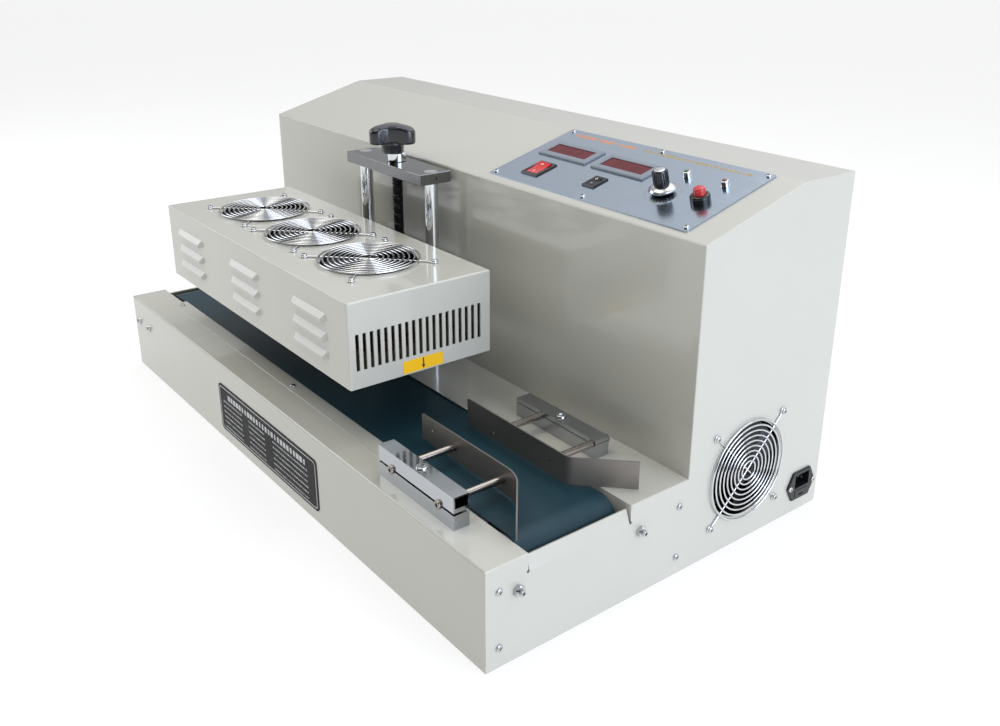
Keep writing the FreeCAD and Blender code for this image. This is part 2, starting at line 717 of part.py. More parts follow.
def power_inlet():
    """Flanged inlet with three blades in its socket and a bay for the fuse drawer."""
    face = LENGTH + INLET_FLANGE
    flange = along_x(inlet_outline(0), (LENGTH, face))
    flange = round_edges(flange, 1.0, lambda e, m: near(m.x, face))
    body = inlet_space((-13.5, 13.5, -15.5, 15.5), (LENGTH - INLET_DEEP, LENGTH))
    inlet = fuse([flange, body])
    inlet = inlet.cut(inlet_space(SOCKET, (LENGTH - SOCKET_DEEP, face + 1)))
    inlet = inlet.cut(inlet_space(DRAWER, (LENGTH - DRAWER_DEEP, face + 1)))
    for dy in INLET_SCREWS:
        inlet = inlet.cut(rod(V(LENGTH - 1, INLET_Y + dy, INLET_Z), X_DIR, 1.7, 5))
    blades = [inlet_space((y - 1, y + 1, z - 2, z + 2), (LENGTH - SOCKET_DEEP - 1, LENGTH - 2))
              for y, z in INLET_BLADES]
    return inlet.fuse(blades)


def fuse_drawer():
    """Small drawer with a finger notch, clear of its bay on every side."""
    clear = 0.2
    inner = (DRAWER[0] + clear, DRAWER[1] - clear, DRAWER[2] + clear, DRAWER[3] - clear)
    drawer = inlet_space(inner, (LENGTH - DRAWER_DEEP + 0.5, LENGTH + INLET_FLANGE + 0.4))
    notch = inlet_space((-4, 4, DRAWER[2] + 1.5, DRAWER[2] + 3.5), (LENGTH + 2, LENGTH + 5))
    return drawer.cut(notch)


def inlet_screws():
    screw = pan_screw(3.0, 1.6, 8.0)
    return [stand(screw, V(LENGTH + INLET_FLANGE, INLET_Y + dy, INLET_Z), X_DIR) for dy in INLET_SCREWS]


# ---------------------------------------------------------------- sealing head

def louvre(x, z):
    """Pressed hood, open underneath: the hood and the space inside it."""
    half = LOUVRE_L / 2
    taper = LOUVRE_TAPER
    y0 = HEAD_Y[0]
    lip = LOUVRE_H * 0.35

    def hood(wall, back):
        top = z + LOUVRE_H - wall
        low = z - (1.0 if wall else 0.0)
        outer = LOUVRE_OUT - wall
        side = half - wall
        face_in = [V(x - side, y0 + back, low), V(x + side, y0 + back, low),
                   V(x + side, y0 + back, top), V(x - side, y0 + back, top)]
        face_out = [V(x - side + taper, y0 - outer, low), V(x + side - taper, y0 - outer, low),
                    V(x + side - taper, y0 - outer, z + lip), V(x - side + taper, y0 - outer, z + lip)]
        wires = [Part.makePolygon(f + [f[0]]) for f in (face_in, face_out)]
        return Part.makeLoft(wires, True, True)

    return hood(0.0, 0.0), hood(LOUVRE_SKIN, HEAD_SHEET + 0.5)


def head_housing():
    """Folded box, open below, with fan holes, end vents and pressed louvres."""
    shell = block(HEAD_X, HEAD_Y, HEAD_Z)
    shell = round_edges(shell, 2.0, lambda e, m: near(m.z, HEAD_Z[1]) or is_along(e, Z_DIR))
    t = HEAD_SHEET
    inside = block((HEAD_X[0] + t, HEAD_X[1] - t), (HEAD_Y[0] + t, HEAD_Y[1] - t),
                   (HEAD_Z[0] - 1, HEAD_Z[1] - t))
    shell = shell.cut(inside)
    for x in HEAD_FANS:
        shell = shell.cut(rod(V(x, HEAD_FAN_Y, HEAD_Z[1] - t - 1), Z_DIR, FAN_HOLE_R, t + 2))
        for dx, dy in fan_corners():
            shell = shell.cut(rod(V(x + dx, HEAD_FAN_Y + dy, HEAD_Z[1] - t - 1), Z_DIR, 2.0, t + 2))
    pitch = (VENT_Y[1] - VENT_Y[0]) / (VENT_COUNT - 1)
    for i in range(VENT_COUNT):
        y = VENT_Y[0] + pitch * i
        for x0 in (HEAD_X[0] - 1, HEAD_X[1] - t - 1):
            shell = shell.cut(block((x0, x0 + t + 2), (y - VENT_W / 2, y + VENT_W / 2), VENT_Z))
    hoods, spaces = zip(*[louvre(x, z) for x in LOUVRE_X for z in LOUVRE_Z])
    return shell.fuse(list(hoods)).cut(Part.makeCompound(list(spaces)))


def head_base_plate():
    """Insulating board that closes the head below."""
    t = HEAD_SHEET
    return block((HEAD_X[0] + t, HEAD_X[1] - t), (HEAD_Y[0] + t, HEAD_Y[1] - t),
                 (HEAD_Z[0], HEAD_Z[0] + BASE_PLATE_T))


def induction_coil():
    """Long flat coil lying on the board: a racetrack with an open middle."""
    z = (HEAD_Z[0] + BASE_PLATE_T, HEAD_Z[0] + BASE_PLATE_T + COIL_H)
    band = COIL_BAND
    outer = rounded_plate(COIL_X, COIL_Y, z, COIL_END_R)
    inner_x = (COIL_X[0] + band, COIL_X[1] - band)
    inner_y = (COIL_Y[0] + band, COIL_Y[1] - band)
    return outer.cut(rounded_plate(inner_x, inner_y, z, COIL_END_R * 0.4))


def ferrite_bars():
    """Ferrite bars across the coil."""
    z0 = HEAD_Z[0] + BASE_PLATE_T + COIL_H
    first = COIL_X[0] + COIL_END_R
    pitch = (COIL_X[1] - COIL_X[0] - 2 * COIL_END_R) / (FERRITE_COUNT - 1)
    middles = [first + pitch * i for i in range(FERRITE_COUNT)]
    half = FERRITE_W / 2
    return [block((x - half, x + half), COIL_Y, (z0, z0 + FERRITE_H)) for x in middles]


def head_carriage():
    """Aluminium block on the head's back that slides on the columns and holds the screw's nut."""
    x = (COLUMN_X[0] - CARRIAGE_WING, COLUMN_X[1] + CARRIAGE_WING)
    body = block(x, CARRIAGE_Y, CARRIAGE_Z)
    deep = CARRIAGE_Z[1] - CARRIAGE_Z[0] + 2
    for cx in COLUMN_X:
        body = body.cut(rod(V(cx, COLUMN_Y, CARRIAGE_Z[0] - 1), Z_DIR, COLUMN_R + BUSH_WALL, deep))
    return body.cut(rod(V(SCREW_X, COLUMN_Y, CARRIAGE_Z[0] - 1), Z_DIR, SCREW_R + NUT_WALL, deep))


def sleeve(x, inner, outer):
    """A bush through the carriage's full height."""
    z0 = CARRIAGE_Z[0]
    deep = CARRIAGE_Z[1] - z0
    tube = rod(V(x, COLUMN_Y, z0), Z_DIR, outer, deep)
    return tube.cut(rod(V(x, COLUMN_Y, z0), Z_DIR, inner, deep))


def column_bushes():
    return [sleeve(x, COLUMN_R + FIT, COLUMN_R + BUSH_WALL) for x in COLUMN_X]


def screw_nut():
    return sleeve(SCREW_X, SCREW_R + FIT, SCREW_R + NUT_WALL)


# ---------------------------------------------------------------- lift

def cross_bar(z, screw_hole):
    """Bar that holds both columns and the screw."""
    bar = block(BAR_X, BAR_Y, z)
    bar = bar.makeChamfer(0.6, bar.Edges)
    for x in COLUMN_X:
        bar = bar.cut(rod(V(x, COLUMN_Y, z[0] - 1), Z_DIR, COLUMN_R, z[1] - z[0] + 2))
    return bar.cut(rod(V(SCREW_X, COLUMN_Y, z[0] - 1), Z_DIR, screw_hole, z[1] - z[0] + 2))


def upper_bar():
    """The bar over the columns, with a set screw hole in each end."""
    middle = (BAR_Z[0] + BAR_Z[1]) / 2
    bar = cross_bar(BAR_Z, SCREW_R + FIT)
    for column, end in zip(COLUMN_X, (BAR_X[0] - 1, BAR_X[1] + 1)):
        bar = bar.cut(rod(V(min(column, end), COLUMN_Y, middle), X_DIR, BAR_HOLE_R, abs(end - column)))
    return bar


def lift_columns():
    return [rod(V(x, COLUMN_Y, LOWER_BAR_Z[0]), Z_DIR, COLUMN_R, BAR_Z[1] - LOWER_BAR_Z[0]) for x in COLUMN_X]


def lead_screw():
    return rod(V(SCREW_X, COLUMN_Y, LOWER_BAR_Z[0] + 1), Z_DIR, SCREW_R, HUB_Z - LOWER_BAR_Z[0] - 1)


def knob_collar():
    """Ground ring between the bar and the knob, fixed on the screw."""
    ring = rod(V(SCREW_X, COLUMN_Y, BAR_Z[1]), Z_DIR, COLLAR_R, HUB_Z - BAR_Z[1])
    ring = ring.makeChamfer(0.8, [e for e in ring.Edges if e.Length > 10 and not is_along(e, Z_DIR)])
    return ring.cut(rod(V(SCREW_X, COLUMN_Y, BAR_Z[1]), Z_DIR, SCREW_R, HUB_Z - BAR_Z[1]))


def star_knob():
    """Lobed hand knob with a domed top and a round neck."""
    centre = V(SCREW_X, COLUMN_Y, KNOB_Z[0])
    tall = KNOB_Z[1] - KNOB_Z[0]
    reach = KNOB_R - LOBE_R
    core = rod(centre, Z_DIR, KNOB_CORE_R, tall)
    lobes = []
    for i in range(KNOB_LOBES):
        turn = math.radians(360.0 * i / KNOB_LOBES + LOBE_TURN)
        out = V(math.cos(turn), math.sin(turn), 0)
        side = V(-out.y, out.x, 0)
        half = side * LOBE_R
        far = centre + out * reach
        lobes.append(rod(far, Z_DIR, LOBE_R, tall))
        lobes.append(prism([centre + half, far + half, far - half, centre - half], V(0, 0, tall)))
    body = fuse([core] + lobes)
    dome = Part.makeSphere(KNOB_DOME_R, V(SCREW_X, COLUMN_Y, KNOB_Z[1] - KNOB_DOME_R))
    body = body.common(dome)
    neck = Part.makeCone(HUB_R - 1, HUB_R + 1, KNOB_Z[0] - HUB_Z, V(SCREW_X, COLUMN_Y, HUB_Z), Z_DIR)
    return fuse([body, neck])


# ---------------------------------------------------------------- product guides

def flared_path(y, turn, bend, shift):
    """One face of a guide in plan: straight run, arc, flared end.

    turn is +1 to flare to the back and -1 to the front; shift is the depth below the lane's face.
    """
    bend_x, radius, angle, reach = bend
    a = math.radians(angle)

    def on_arc(t):
        r = radius - shift
        return V(bend_x + r * math.sin(t), y + turn * (radius - r * math.cos(t)), 0)

    start = V(GUIDE_X, y + turn * shift, 0)
    leave = on_arc(a)
    end = leave + V(math.cos(a), turn * math.sin(a), 0) * reach
    arc = Part.Arc(on_arc(0), on_arc(a / 2), leave)
    return start, [Part.makeLine(start, on_arc(0)), arc.toShape(), Part.makeLine(leave, end)], end


def guide_plate(y, turn, bend, hole):
    """Guide plate with a small spare hole; its face towards the lane is at y."""
    start, lane_face, end = flared_path(y, turn, bend, 0)
    back_start, back_face, back_end = flared_path(y, turn, bend, GUIDE_T)
    ends = [Part.makeLine(start, back_start), Part.makeLine(end, back_end)]
    outline = Part.Wire(Part.__sortEdges__(lane_face + back_face + ends))
    plate = Part.Face(outline).extrude(V(0, 0, GUIDE_Z[1] - GUIDE_Z[0]))
    plate.translate(V(0, 0, GUIDE_Z[0]))
    plate = round_edges(plate, 2.5, lambda e, m: is_along(e, Y_DIR) and near(m.x, GUIDE_X))
    for x in ROD_X:
        plate = plate.cut(rod(V(x, y - 4, ROD_Z), Y_DIR, STUB_R, 8))
    return plate.cut(rod(V(hole[0], y - 4, hole[1]), Y_DIR, STUB_R, 8))


def guide_rods(plate_y, far_y, out):
    """The two rods of a guide: a stub riveted flush in the plate, a tapped hole at the other end."""
    away = V(0, out, 0)
    rods = []
    for x in ROD_X:
        body = rod(V(x, plate_y, ROD_Z), away, ROD_R, abs(far_y - plate_y))
        body = body.fuse(rod(V(x, plate_y, ROD_Z), -away, STUB_R, GUIDE_T))
        rods.append(body.cut(rod(V(x, far_y, ROD_Z), -away, STUB_R, STUB_DEEP)))
    return rods


def stop_screws(far_y, out):
    """The screws in the rods' outer ends, which keep the rods in their clamp."""
    stop = socket_screw(STOP_HEAD_R, STOP_HEAD_H, STUB_R, STUB_DEEP - 1)
    return [stand(stop, V(x, far_y, ROD_Z), V(0, out, 0)) for x in ROD_X]


def grooved(shape, y):
    """Grooves for both rods, wider than the rods by a sliding fit."""
    for x in ROD_X:
        shape = shape.cut(rod(V(x, y[0] - 1, ROD_Z), Y_DIR, ROD_R + FIT, y[1] - y[0] + 2))
    return shape


def clamp_screw_hole(shape, x, y, z, radius=CLAMP_SCREW_R + 0.3):
    return shape.cut(rod(V(x, y, z[0] - 1), Z_DIR, radius, z[1] - z[0] + 2))


def middle_of(pair):
    return (pair[0] + pair[1]) / 2


def front_clamp():
    """Solid lower bar on the deck and a square tube over it, the rods between them."""
    x, y = middle_of(CLAMP_F_X), middle_of(CLAMP_F_Y)
    low_z = (DECK, ROD_Z - SEAM)
    high_z = (ROD_Z + SEAM, CLAMP_F_TOP)
    lower = grooved(block(CLAMP_F_X, CLAMP_F_Y, low_z), CLAMP_F_Y)
    lower = lower.cut(rod(V(x, y, low_z[0] + 3), Z_DIR, CLAMP_SCREW_R + FIT, low_z[1] - low_z[0]))
    wall = TUBE_WALL
    tube = block(CLAMP_F_X, CLAMP_F_Y, high_z)
    bore = block((CLAMP_F_X[0] - 1, CLAMP_F_X[1] + 1), (CLAMP_F_Y[0] + wall, CLAMP_F_Y[1] - wall),
                 (high_z[0] + TUBE_FLOOR, high_z[1] - wall))
    tube = grooved(tube.cut(bore), CLAMP_F_Y)
    return lower, clamp_screw_hole(tube, x, y, high_z)


def rear_clamp():
    """Solid bar on the deck and a thin plate over it, the rods between them."""
    x, y = middle_of(CLAMP_R_X), middle_of(CLAMP_R_Y)
    low_z = (DECK, ROD_Z - REAR_SEAM)
    high_z = (ROD_Z + REAR_SEAM, CLAMP_R_TOP)
    lower = grooved(block(CLAMP_R_X, CLAMP_R_Y, low_z), CLAMP_R_Y)
    lower = lower.cut(rod(V(x, y, low_z[0] + 3), Z_DIR, CLAMP_SCREW_R + FIT, low_z[1] - low_z[0]))
    plate = grooved(block(CLAMP_R_X, CLAMP_R_Y, high_z), CLAMP_R_Y)
    return lower, clamp_screw_hole(plate, x, y, high_z)


def clamp_screw(x_pair, y_pair, top):
    """Low clamp screw standing on the clamp."""
    screw = socket_screw(CLAMP_HEAD_R, CLAMP_HEAD_H, CLAMP_SCREW_R, top - DECK - 4)
    return screw.translated(V(middle_of(x_pair), middle_of(y_pair), top))


# ---------------------------------------------------------------- control panel

def panel_box(place, size, z):
    """A box on the panel about a place, given its width, height and z limits."""
    x, s = place
    return block((x - size[0] / 2, x + size[0] / 2), (s - size[1] / 2, s + size[1] / 2), z)


def control_panel():
    plate = rounded_plate(PANEL_X, PANEL_S, (0, PANEL_T), 3.0)
    for sx in PANEL_SCREWS_X:
        for ss in PANEL_SCREWS_S:
            plate = plate.cut(rod(V(sx, ss, -1), Z_DIR, 1.7, PANEL_T + 2))
    through = (-1, PANEL_T + 1)
    for place in DISPLAYS:
        plate = plate.cut(panel_box(place, (DISPLAY_W - 6, DISPLAY_H - 6), through))
    for switch in (POWER_SWITCH, MODE_SWITCH):
        plate = plate.cut(panel_box(switch[:2], (switch[2] - 4, switch[3] - 4), through))
    for place, radius in ((POT, 3.7), (BUTTON, 8.2), (LAMPS[0], 4.2), (LAMPS[1], 4.2)):
        plate = plate.cut(rod(V(place[0], place[1], -1), Z_DIR, radius, PANEL_T + 2))
    return on_slope(plate)


def panel_screws():
    screw = pan_screw(3.2, 2.0, PANEL_T + SHEET + 3)
    return [on_slope(screw.translated(V(sx, ss, PANEL_T))) for sx in PANEL_SCREWS_X for ss in PANEL_SCREWS_S]


def display_bezels():
    bezels = []
    for place in DISPLAYS:
        top = PANEL_T + BEZEL_H
        rim = panel_box(place, (DISPLAY_W, DISPLAY_H), (PANEL_T, top))
        rim = rim.makeChamfer(1.0, [e for e in rim.Edges if near(e.CenterOfMass.z, top)])
        body = panel_box(place, (DISPLAY_W - 6.4, DISPLAY_H - 6.4), (-BEZEL_DEEP, PANEL_T))
        bezel = fuse([rim, body]).cut(panel_box(place, (GLASS_W, GLASS_H), (-GLASS_DEEP, top + 1)))
        bezels.append(on_slope(bezel))
    return bezels


def display_windows():
    size = (GLASS_W - 0.2, GLASS_H - 0.2)
    return [on_slope(panel_box(place, size, (-GLASS_DEEP, PANEL_T + GLASS_TOP))) for place in DISPLAYS]


def switch_frame(switch):
    """Rocker switch body with a rectangular well."""
    x, s, w, h = switch
    rim = panel_box((x, s), (w, h), (PANEL_T, PANEL_T + 2.0))
    rim = rim.makeChamfer(0.6, [e for e in rim.Edges if near(e.CenterOfMass.z, PANEL_T + 2.0)])
    body = panel_box((x, s), (w - 4.4, h - 4.4), (-22, PANEL_T))
    frame = fuse([rim, body]).cut(panel_box((x, s), (w - 7, h - 7), (-12, PANEL_T + 3)))
    return on_slope(frame.cut(rocker_axle(switch, ROCKER_PIN_R + FIT, 0.2)))


def rocker_axle(switch, radius, spare):
    """The line of a rocker's two pivot pins, which end inside the walls of its well."""
    x, s, w, _ = switch
    half = (w - 7) / 2 + 0.9 + spare
    return rod(V(x - half, s, ROCKER_AXIS), X_DIR, radius, 2 * half)


def rocker(switch):
    """Rocker cap tilted about its own axis, its lower half pressed in."""
    x, s, w, h = switch
    half_w = (w - 8.2) / 2
    half_s = (h - 9.5) / 2
    rise = 5.2
    dip = 1.2
    outline = [V(x - half_w, s - half_s, ROCKER_AXIS - 5), V(x - half_w, s + half_s, ROCKER_AXIS - 5),
               V(x - half_w, s + half_s, ROCKER_AXIS + rise), V(x - half_w, s, ROCKER_AXIS + rise - dip),
               V(x - half_w, s - half_s, ROCKER_AXIS + rise)]
    cap = prism(outline, V(2 * half_w, 0, 0))
    cap.rotate(V(x, s, ROCKER_AXIS), X_DIR, ROCKER_TILT)
    return on_slope(cap.fuse(rocker_axle(switch, ROCKER_PIN_R, 0)))


def pot_body():
    """Potentiometer body under the panel with its bush and nut above it."""
    x, s = POT
    body = rod(V(x, s, -16), Z_DIR, 12.0, 16)
    bush = rod(V(x, s, 0), Z_DIR, 3.6, PANEL_T + 3)
    nut = hexagon(5.5, 2.0).translated(V(x, s, PANEL_T))
    axle_hole = rod(V(x, s, -8), Z_DIR, POT_AXLE_R + FIT, 20)
    return on_slope(fuse([body, bush, nut]).cut(axle_hole))


def pot_knob():
    """Fluted knob with a dial skirt, on its own axle."""
    x, s = POT
    z0 = PANEL_T + 0.8
    grip_z = z0 + POT_SKIRT_H
    skirt = Part.makeCone(POT_SKIRT_R, POT_SKIRT_R - 0.8, POT_SKIRT_H, V(x, s, z0), Z_DIR)
    grip = Part.makeCone(POT_GRIP_R[0], POT_GRIP_R[1], POT_TOP - grip_z, V(x, s, grip_z), Z_DIR)
    flute_at = POT_GRIP_R[0] + 0.5
    turns = [math.radians(a) for a in range(0, 360, 24)]
    places = [V(x + flute_at * math.cos(t), s + flute_at * math.sin(t), grip_z + 1) for t in turns]
    grip = grip.cut(Part.makeCompound([rod(p, Z_DIR, 1.0, POT_TOP) for p in places]))
    recess = rod(V(x, s, z0 - 1), Z_DIR, 6.3, 5.0)
    axle = rod(V(x, s, -7), Z_DIR, POT_AXLE_R, POT_TOP)
    return on_slope(fuse([skirt, grip]).cut(recess).fuse(axle))


def button_collar():
    """Glossy ring with a thread under the panel."""
    x, s = BUTTON
    ring = rod(V(x, s, PANEL_T), Z_DIR, COLLAR_R_OUT, COLLAR_H)
    ring = round_edges(ring, 3.0, lambda e, m: near(m.z, PANEL_T + COLLAR_H))
    body = rod(V(x, s, -22), Z_DIR, THREAD_R, 22 + PANEL_T)
    return on_slope(fuse([ring, body]).cut(rod(V(x, s, -10), Z_DIR, BUTTON_BORE_R, 30)))


def push_button():
    x, s = BUTTON
    top = PANEL_T + BUTTON_TOP
    cap = rod(V(x, s, -4), Z_DIR, BUTTON_R, top + 4)
    return on_slope(round_edges(cap, 2.0, lambda e, m: near(m.z, top)))


def lamp_holders():
    """Chrome bezels with a flanged edge, bored for the lamps."""
    holders = []
    for x, s in LAMPS:
        flange = rod(V(x, s, PANEL_T), Z_DIR, LAMP_R + 0.8, 1.0)
        barrel = rod(V(x, s, PANEL_T + 1.0), Z_DIR, LAMP_R, LAMP_H - 1.0)
        barrel = round_edges(barrel, 1.0, lambda e, m: near(m.z, PANEL_T + LAMP_H))
        thread = rod(V(x, s, -12), Z_DIR, 4.0, 12 + PANEL_T)
        holders.append(on_slope(fuse([flange, barrel, thread]).cut(rod(V(x, s, -9), Z_DIR, LAMP_BORE_R, 30))))
    return holders


# ---------------------------------------------------------------- inside the cabinet, plates and labels

def generator_board():
    """Power electronics of the sealer: a board on four pillars with its finned heat sink."""
    board = block(BOARD_X, BOARD_Y, (BOARD_Z, SINK_Z[0]))
    pillars = [rod(V(x, y, SHEET), Z_DIR, 4.0, BOARD_Z - SHEET)
               for x in (BOARD_X[0] + 10, BOARD_X[1] - 10) for y in (BOARD_Y[0] + 10, BOARD_Y[1] - 10)]
    sink_x = (BOARD_X[0] + SINK_INSET[0], BOARD_X[1] - SINK_INSET[0])
    sink_y = (BOARD_Y[0] + SINK_INSET[1], BOARD_Y[1] - SINK_INSET[1])
    sink = block(sink_x, sink_y, SINK_Z[:2])
    count = int((sink_y[1] - sink_y[0]) // FIN_PITCH)
    starts = [sink_y[0] + FIN_PITCH * i for i in range(count)]
    fins = [block(sink_x, (y, y + FIN_T), SINK_Z[1:]) for y in starts]
    return fuse([board, sink] + pillars + fins)


def nameplate():
    plate = block(PLATE_X, (-PLATE_T, 0), PLATE_Z)
    return round_edges(plate, 6.0, lambda e, m: is_along(e, Y_DIR))


def arrow_label():
    return block((HEAD_X[1], HEAD_X[1] + LABEL_T), LABEL_Y, LABEL_Z)


def end_screws():
    screw = pan_screw(PAN_R, PAN_H, END_SHEET + 3)
    right = [stand(screw, V(LENGTH, y, z), X_DIR) for y, z in END_SCREWS]
    left = [stand(screw, V(0, y, z), V(-1, 0, 0)) for y, z in END_SCREWS]
    return right + left


def set_screws():
    """Set screws in the ends of the upper bar, against the columns."""
    middle = (BAR_Z[0] + BAR_Z[1]) / 2
    length = 1.2
    right = rod(V(COLUMN_X[1] + COLUMN_R, COLUMN_Y, middle), X_DIR, BAR_HOLE_R, length)
    left = rod(V(COLUMN_X[0] - COLUMN_R - length, COLUMN_Y, middle), X_DIR, BAR_HOLE_R, length)
    return [right, left]


# ---------------------------------------------------------------- all sub-parts

def cover_screws():
    """Every pan head screw of the base: end plates, strips, panel, inlet and end fan."""
    return end_screws() + strip_screws() + panel_screws() + inlet_screws() + [
        at_end_fan(screw, 0) for screw in fan_screws()]


def save_base():
    save("front_cover", front_cover())
    save("rear_deck", rear_deck())
    save("bottom_pan", bottom_pan())
    save("end_plate_left", end_plate(0, 1))
    save("end_plate_right", end_plate_right())
    save("cabinet_shell", cabinet_shell())
    save("back_panel", back_panel())
    save("cover_screws", *cover_screws())
    save("belt_strips", side_strip(STRIP_IN[0], -1), side_strip(STRIP_IN[1], 1))
    save("nameplate", nameplate())
    save("generator_board", generator_board())
    save("power_inlet", power_inlet())
    save("fuse_drawer", fuse_drawer())


def save_drive():
    blocks, posts, bolts = tension_parts()
    save("conveyor_belt", conveyor_belt())
    save("belt_bed", belt_bed())
    save("drive_roller", roller(DRIVE_X, (SHEET + 3, MOTOR_Y[0] + 30)))
    save("idler_roller", roller(IDLER_X, (TENSION_Y[0] - 6, TENSION_Y[1] + 6)))
    save("shaft_supports", drive_bearing_block(), drive_bracket(), *posts)
    save("gearmotor", gearmotor())
    save("tension_blocks", *blocks)
    save("roller_bolts", *bolts, *bearing_bolts())


def save_fans():
    frame, impeller, guard = fan_frame(), fan_impeller(), wire_guard()
    save("head_fan_frames", *at_head_fans([under_skin(frame)]))
    for number, x in enumerate(HEAD_FANS, 1):
        place = V(x, HEAD_FAN_Y, HEAD_Z[1] - HEAD_SHEET)
        save("head_impeller_%d" % number, impeller.translated(place))
    save("head_fan_guards", *at_head_fans([guard]))
    save("head_fan_screws", *at_head_fans(fan_screws()))
    save("end_fan_frame", at_end_fan(frame, END_SHEET))
    save("end_impeller", at_end_fan(impeller, END_SHEET))
    save("end_fan_guard", at_end_fan(guard, 0))


def save_head():
    save("head_housing", head_housing())
    save("head_base_plate", head_base_plate())
    save("induction_coil", induction_coil(), *ferrite_bars())
    save("head_carriage", head_carriage())
    save("column_bushes", *column_bushes(), screw_nut())
    save("arrow_label", arrow_label())
    save("lift_columns", *lift_columns())
    save("cross_bars", upper_bar(), cross_bar(LOWER_BAR_Z, SCREW_R + FIT), *set_screws())
    save("lead_screw", lead_screw())
    save("knob_collar", knob_collar())
    save("star_knob", star_knob())


def save_guides():
    front_back = FRONT_GUIDE_Y - GUIDE_T
    rear_back = REAR_GUIDE_Y + GUIDE_T
    save("front_guide_plate", guide_plate(FRONT_GUIDE_Y, -1, FRONT_BEND, FRONT_HOLE))
    save("front_guide_rods", *guide_rods(front_back, CLAMP_F_Y[0], -1), *stop_screws(CLAMP_F_Y[0], -1))
    save("rear_guide_plate", guide_plate(REAR_GUIDE_Y, 1, REAR_BEND, REAR_HOLE))
    save("rear_guide_rods", *guide_rods(rear_back, CLAMP_R_Y[1], 1), *stop_screws(CLAMP_R_Y[1], 1))
    save("front_clamp", *front_clamp())
    save("front_clamp_screw", clamp_screw(CLAMP_F_X, CLAMP_F_Y, CLAMP_F_TOP))
    save("rear_clamp", *rear_clamp())
    save("rear_clamp_screw", clamp_screw(CLAMP_R_X, CLAMP_R_Y, CLAMP_R_TOP))


def save_controls():
    save("control_panel", control_panel())
    save("display_bezels", *display_bezels())
    save("display_windows", *display_windows())
    save("switch_frames", switch_frame(POWER_SWITCH), switch_frame(MODE_SWITCH))
    save("power_rocker", rocker(POWER_SWITCH))
    save("mode_rocker", rocker(MODE_SWITCH))
    save("pot_body", pot_body())
    save("pot_knob", pot_knob())
    save("button_collar", button_collar())
    save("push_button", push_button())
    save("lamp_holders", *lamp_holders())


os.makedirs("parts", exist_ok=True)
save_base()
save_drive()
save_fans()
save_head()
save_guides()
save_controls()
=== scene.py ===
import math

import bmesh
import bpy
from mathutils import Matrix, Vector


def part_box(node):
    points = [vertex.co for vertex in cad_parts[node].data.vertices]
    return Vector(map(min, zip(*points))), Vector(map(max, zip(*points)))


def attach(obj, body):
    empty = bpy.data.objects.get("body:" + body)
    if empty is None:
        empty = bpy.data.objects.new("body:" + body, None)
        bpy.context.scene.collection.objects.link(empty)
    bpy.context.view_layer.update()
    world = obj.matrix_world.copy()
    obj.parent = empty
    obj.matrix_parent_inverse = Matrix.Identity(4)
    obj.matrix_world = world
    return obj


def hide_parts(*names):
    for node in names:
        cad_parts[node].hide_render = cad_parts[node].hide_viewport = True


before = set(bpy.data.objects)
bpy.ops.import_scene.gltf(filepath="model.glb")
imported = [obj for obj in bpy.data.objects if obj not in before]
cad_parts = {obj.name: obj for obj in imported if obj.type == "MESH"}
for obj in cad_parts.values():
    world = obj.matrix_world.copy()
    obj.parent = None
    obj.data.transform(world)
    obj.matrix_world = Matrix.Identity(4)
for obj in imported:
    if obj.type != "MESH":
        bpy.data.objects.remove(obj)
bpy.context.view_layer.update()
MM = 0.001


# The set: a pale floor, a tall cool soft box beyond the discharge end, two wide ones overhead and a
# window to the operator's left, in a room that is bright above and behind the machine.

def linear(colour):
    """An sRGB hex colour as linear RGBA."""
    parts = [int(colour[i:i + 2], 16) / 255 for i in (1, 3, 5)]
    return tuple(c / 12.92 if c <= 0.04045 else ((c + 0.055) / 1.055) ** 2.4 for c in parts) + (1.0,)


def add(tree, kind, feeds=None, **settings):
    """Adds a node: its own settings, then its inputs, each a value or another node's output."""
    node = tree.nodes.new(kind)
    for key, value in settings.items():
        setattr(node, key, value)
    for key, value in (feeds or {}).items():
        if isinstance(value, bpy.types.NodeSocket):
            tree.links.new(value, node.inputs[key])
        else:
            node.inputs[key].default_value = value
    return node


def shader(name, colour, rough, metal=0.0, more=None):
    """A material whose shader has the values that are the same all over; returns what patterns need."""
    made = bpy.data.materials.new(name)
    made.use_nodes = True
    tree = made.node_tree
    tree.nodes.clear()
    gloss = add(tree, "ShaderNodeBsdfPrincipled",
                {"Base Color": linear(colour), "Roughness": rough, "Metallic": metal, **(more or {})})
    add(tree, "ShaderNodeOutputMaterial", {"Surface": gloss.outputs[0]})
    place = add(tree, "ShaderNodeTexCoord").outputs["Object"]
    return made, tree, gloss, place


def soft_box(name, place, aim, size, power, colour):
    """A rectangular soft light in metres and watts, turned towards the point it aims at."""
    lamp = bpy.data.lights.new(name, "AREA")
    lamp.shape = "RECTANGLE"
    lamp.color = linear(colour)[:3]
    lamp.size, lamp.size_y = size
    lamp.energy = power
    stand = bpy.data.objects.new(name, lamp)
    bpy.context.scene.collection.objects.link(stand)
    stand.location = place
    stand.rotation_euler = (Vector(aim) - Vector(place)).to_track_quat("-Z", "Y").to_euler()


soft_box("end_box", (2.3, 0.1, 0.75), (0.2, 0.0, 0.2), (1.6, 1.5), 37, "#DCE8FF")
soft_box("top_box", (0.1, 0.9, 2.0), (0.0, 0.0, 0.2), (1.9, 1.5), 15, "#F4F8FF")
soft_box("shoulder_box", (-0.3, -0.8, 2.2), (-0.1, 0.0, 0.2), (1.8, 0.9), 16, "#FFFBF2")
soft_box("window", (-1.9, -1.25, 1.25), (-0.1, -0.2, 0.2), (1.5, 1.3), 16, "#F4F8FF")

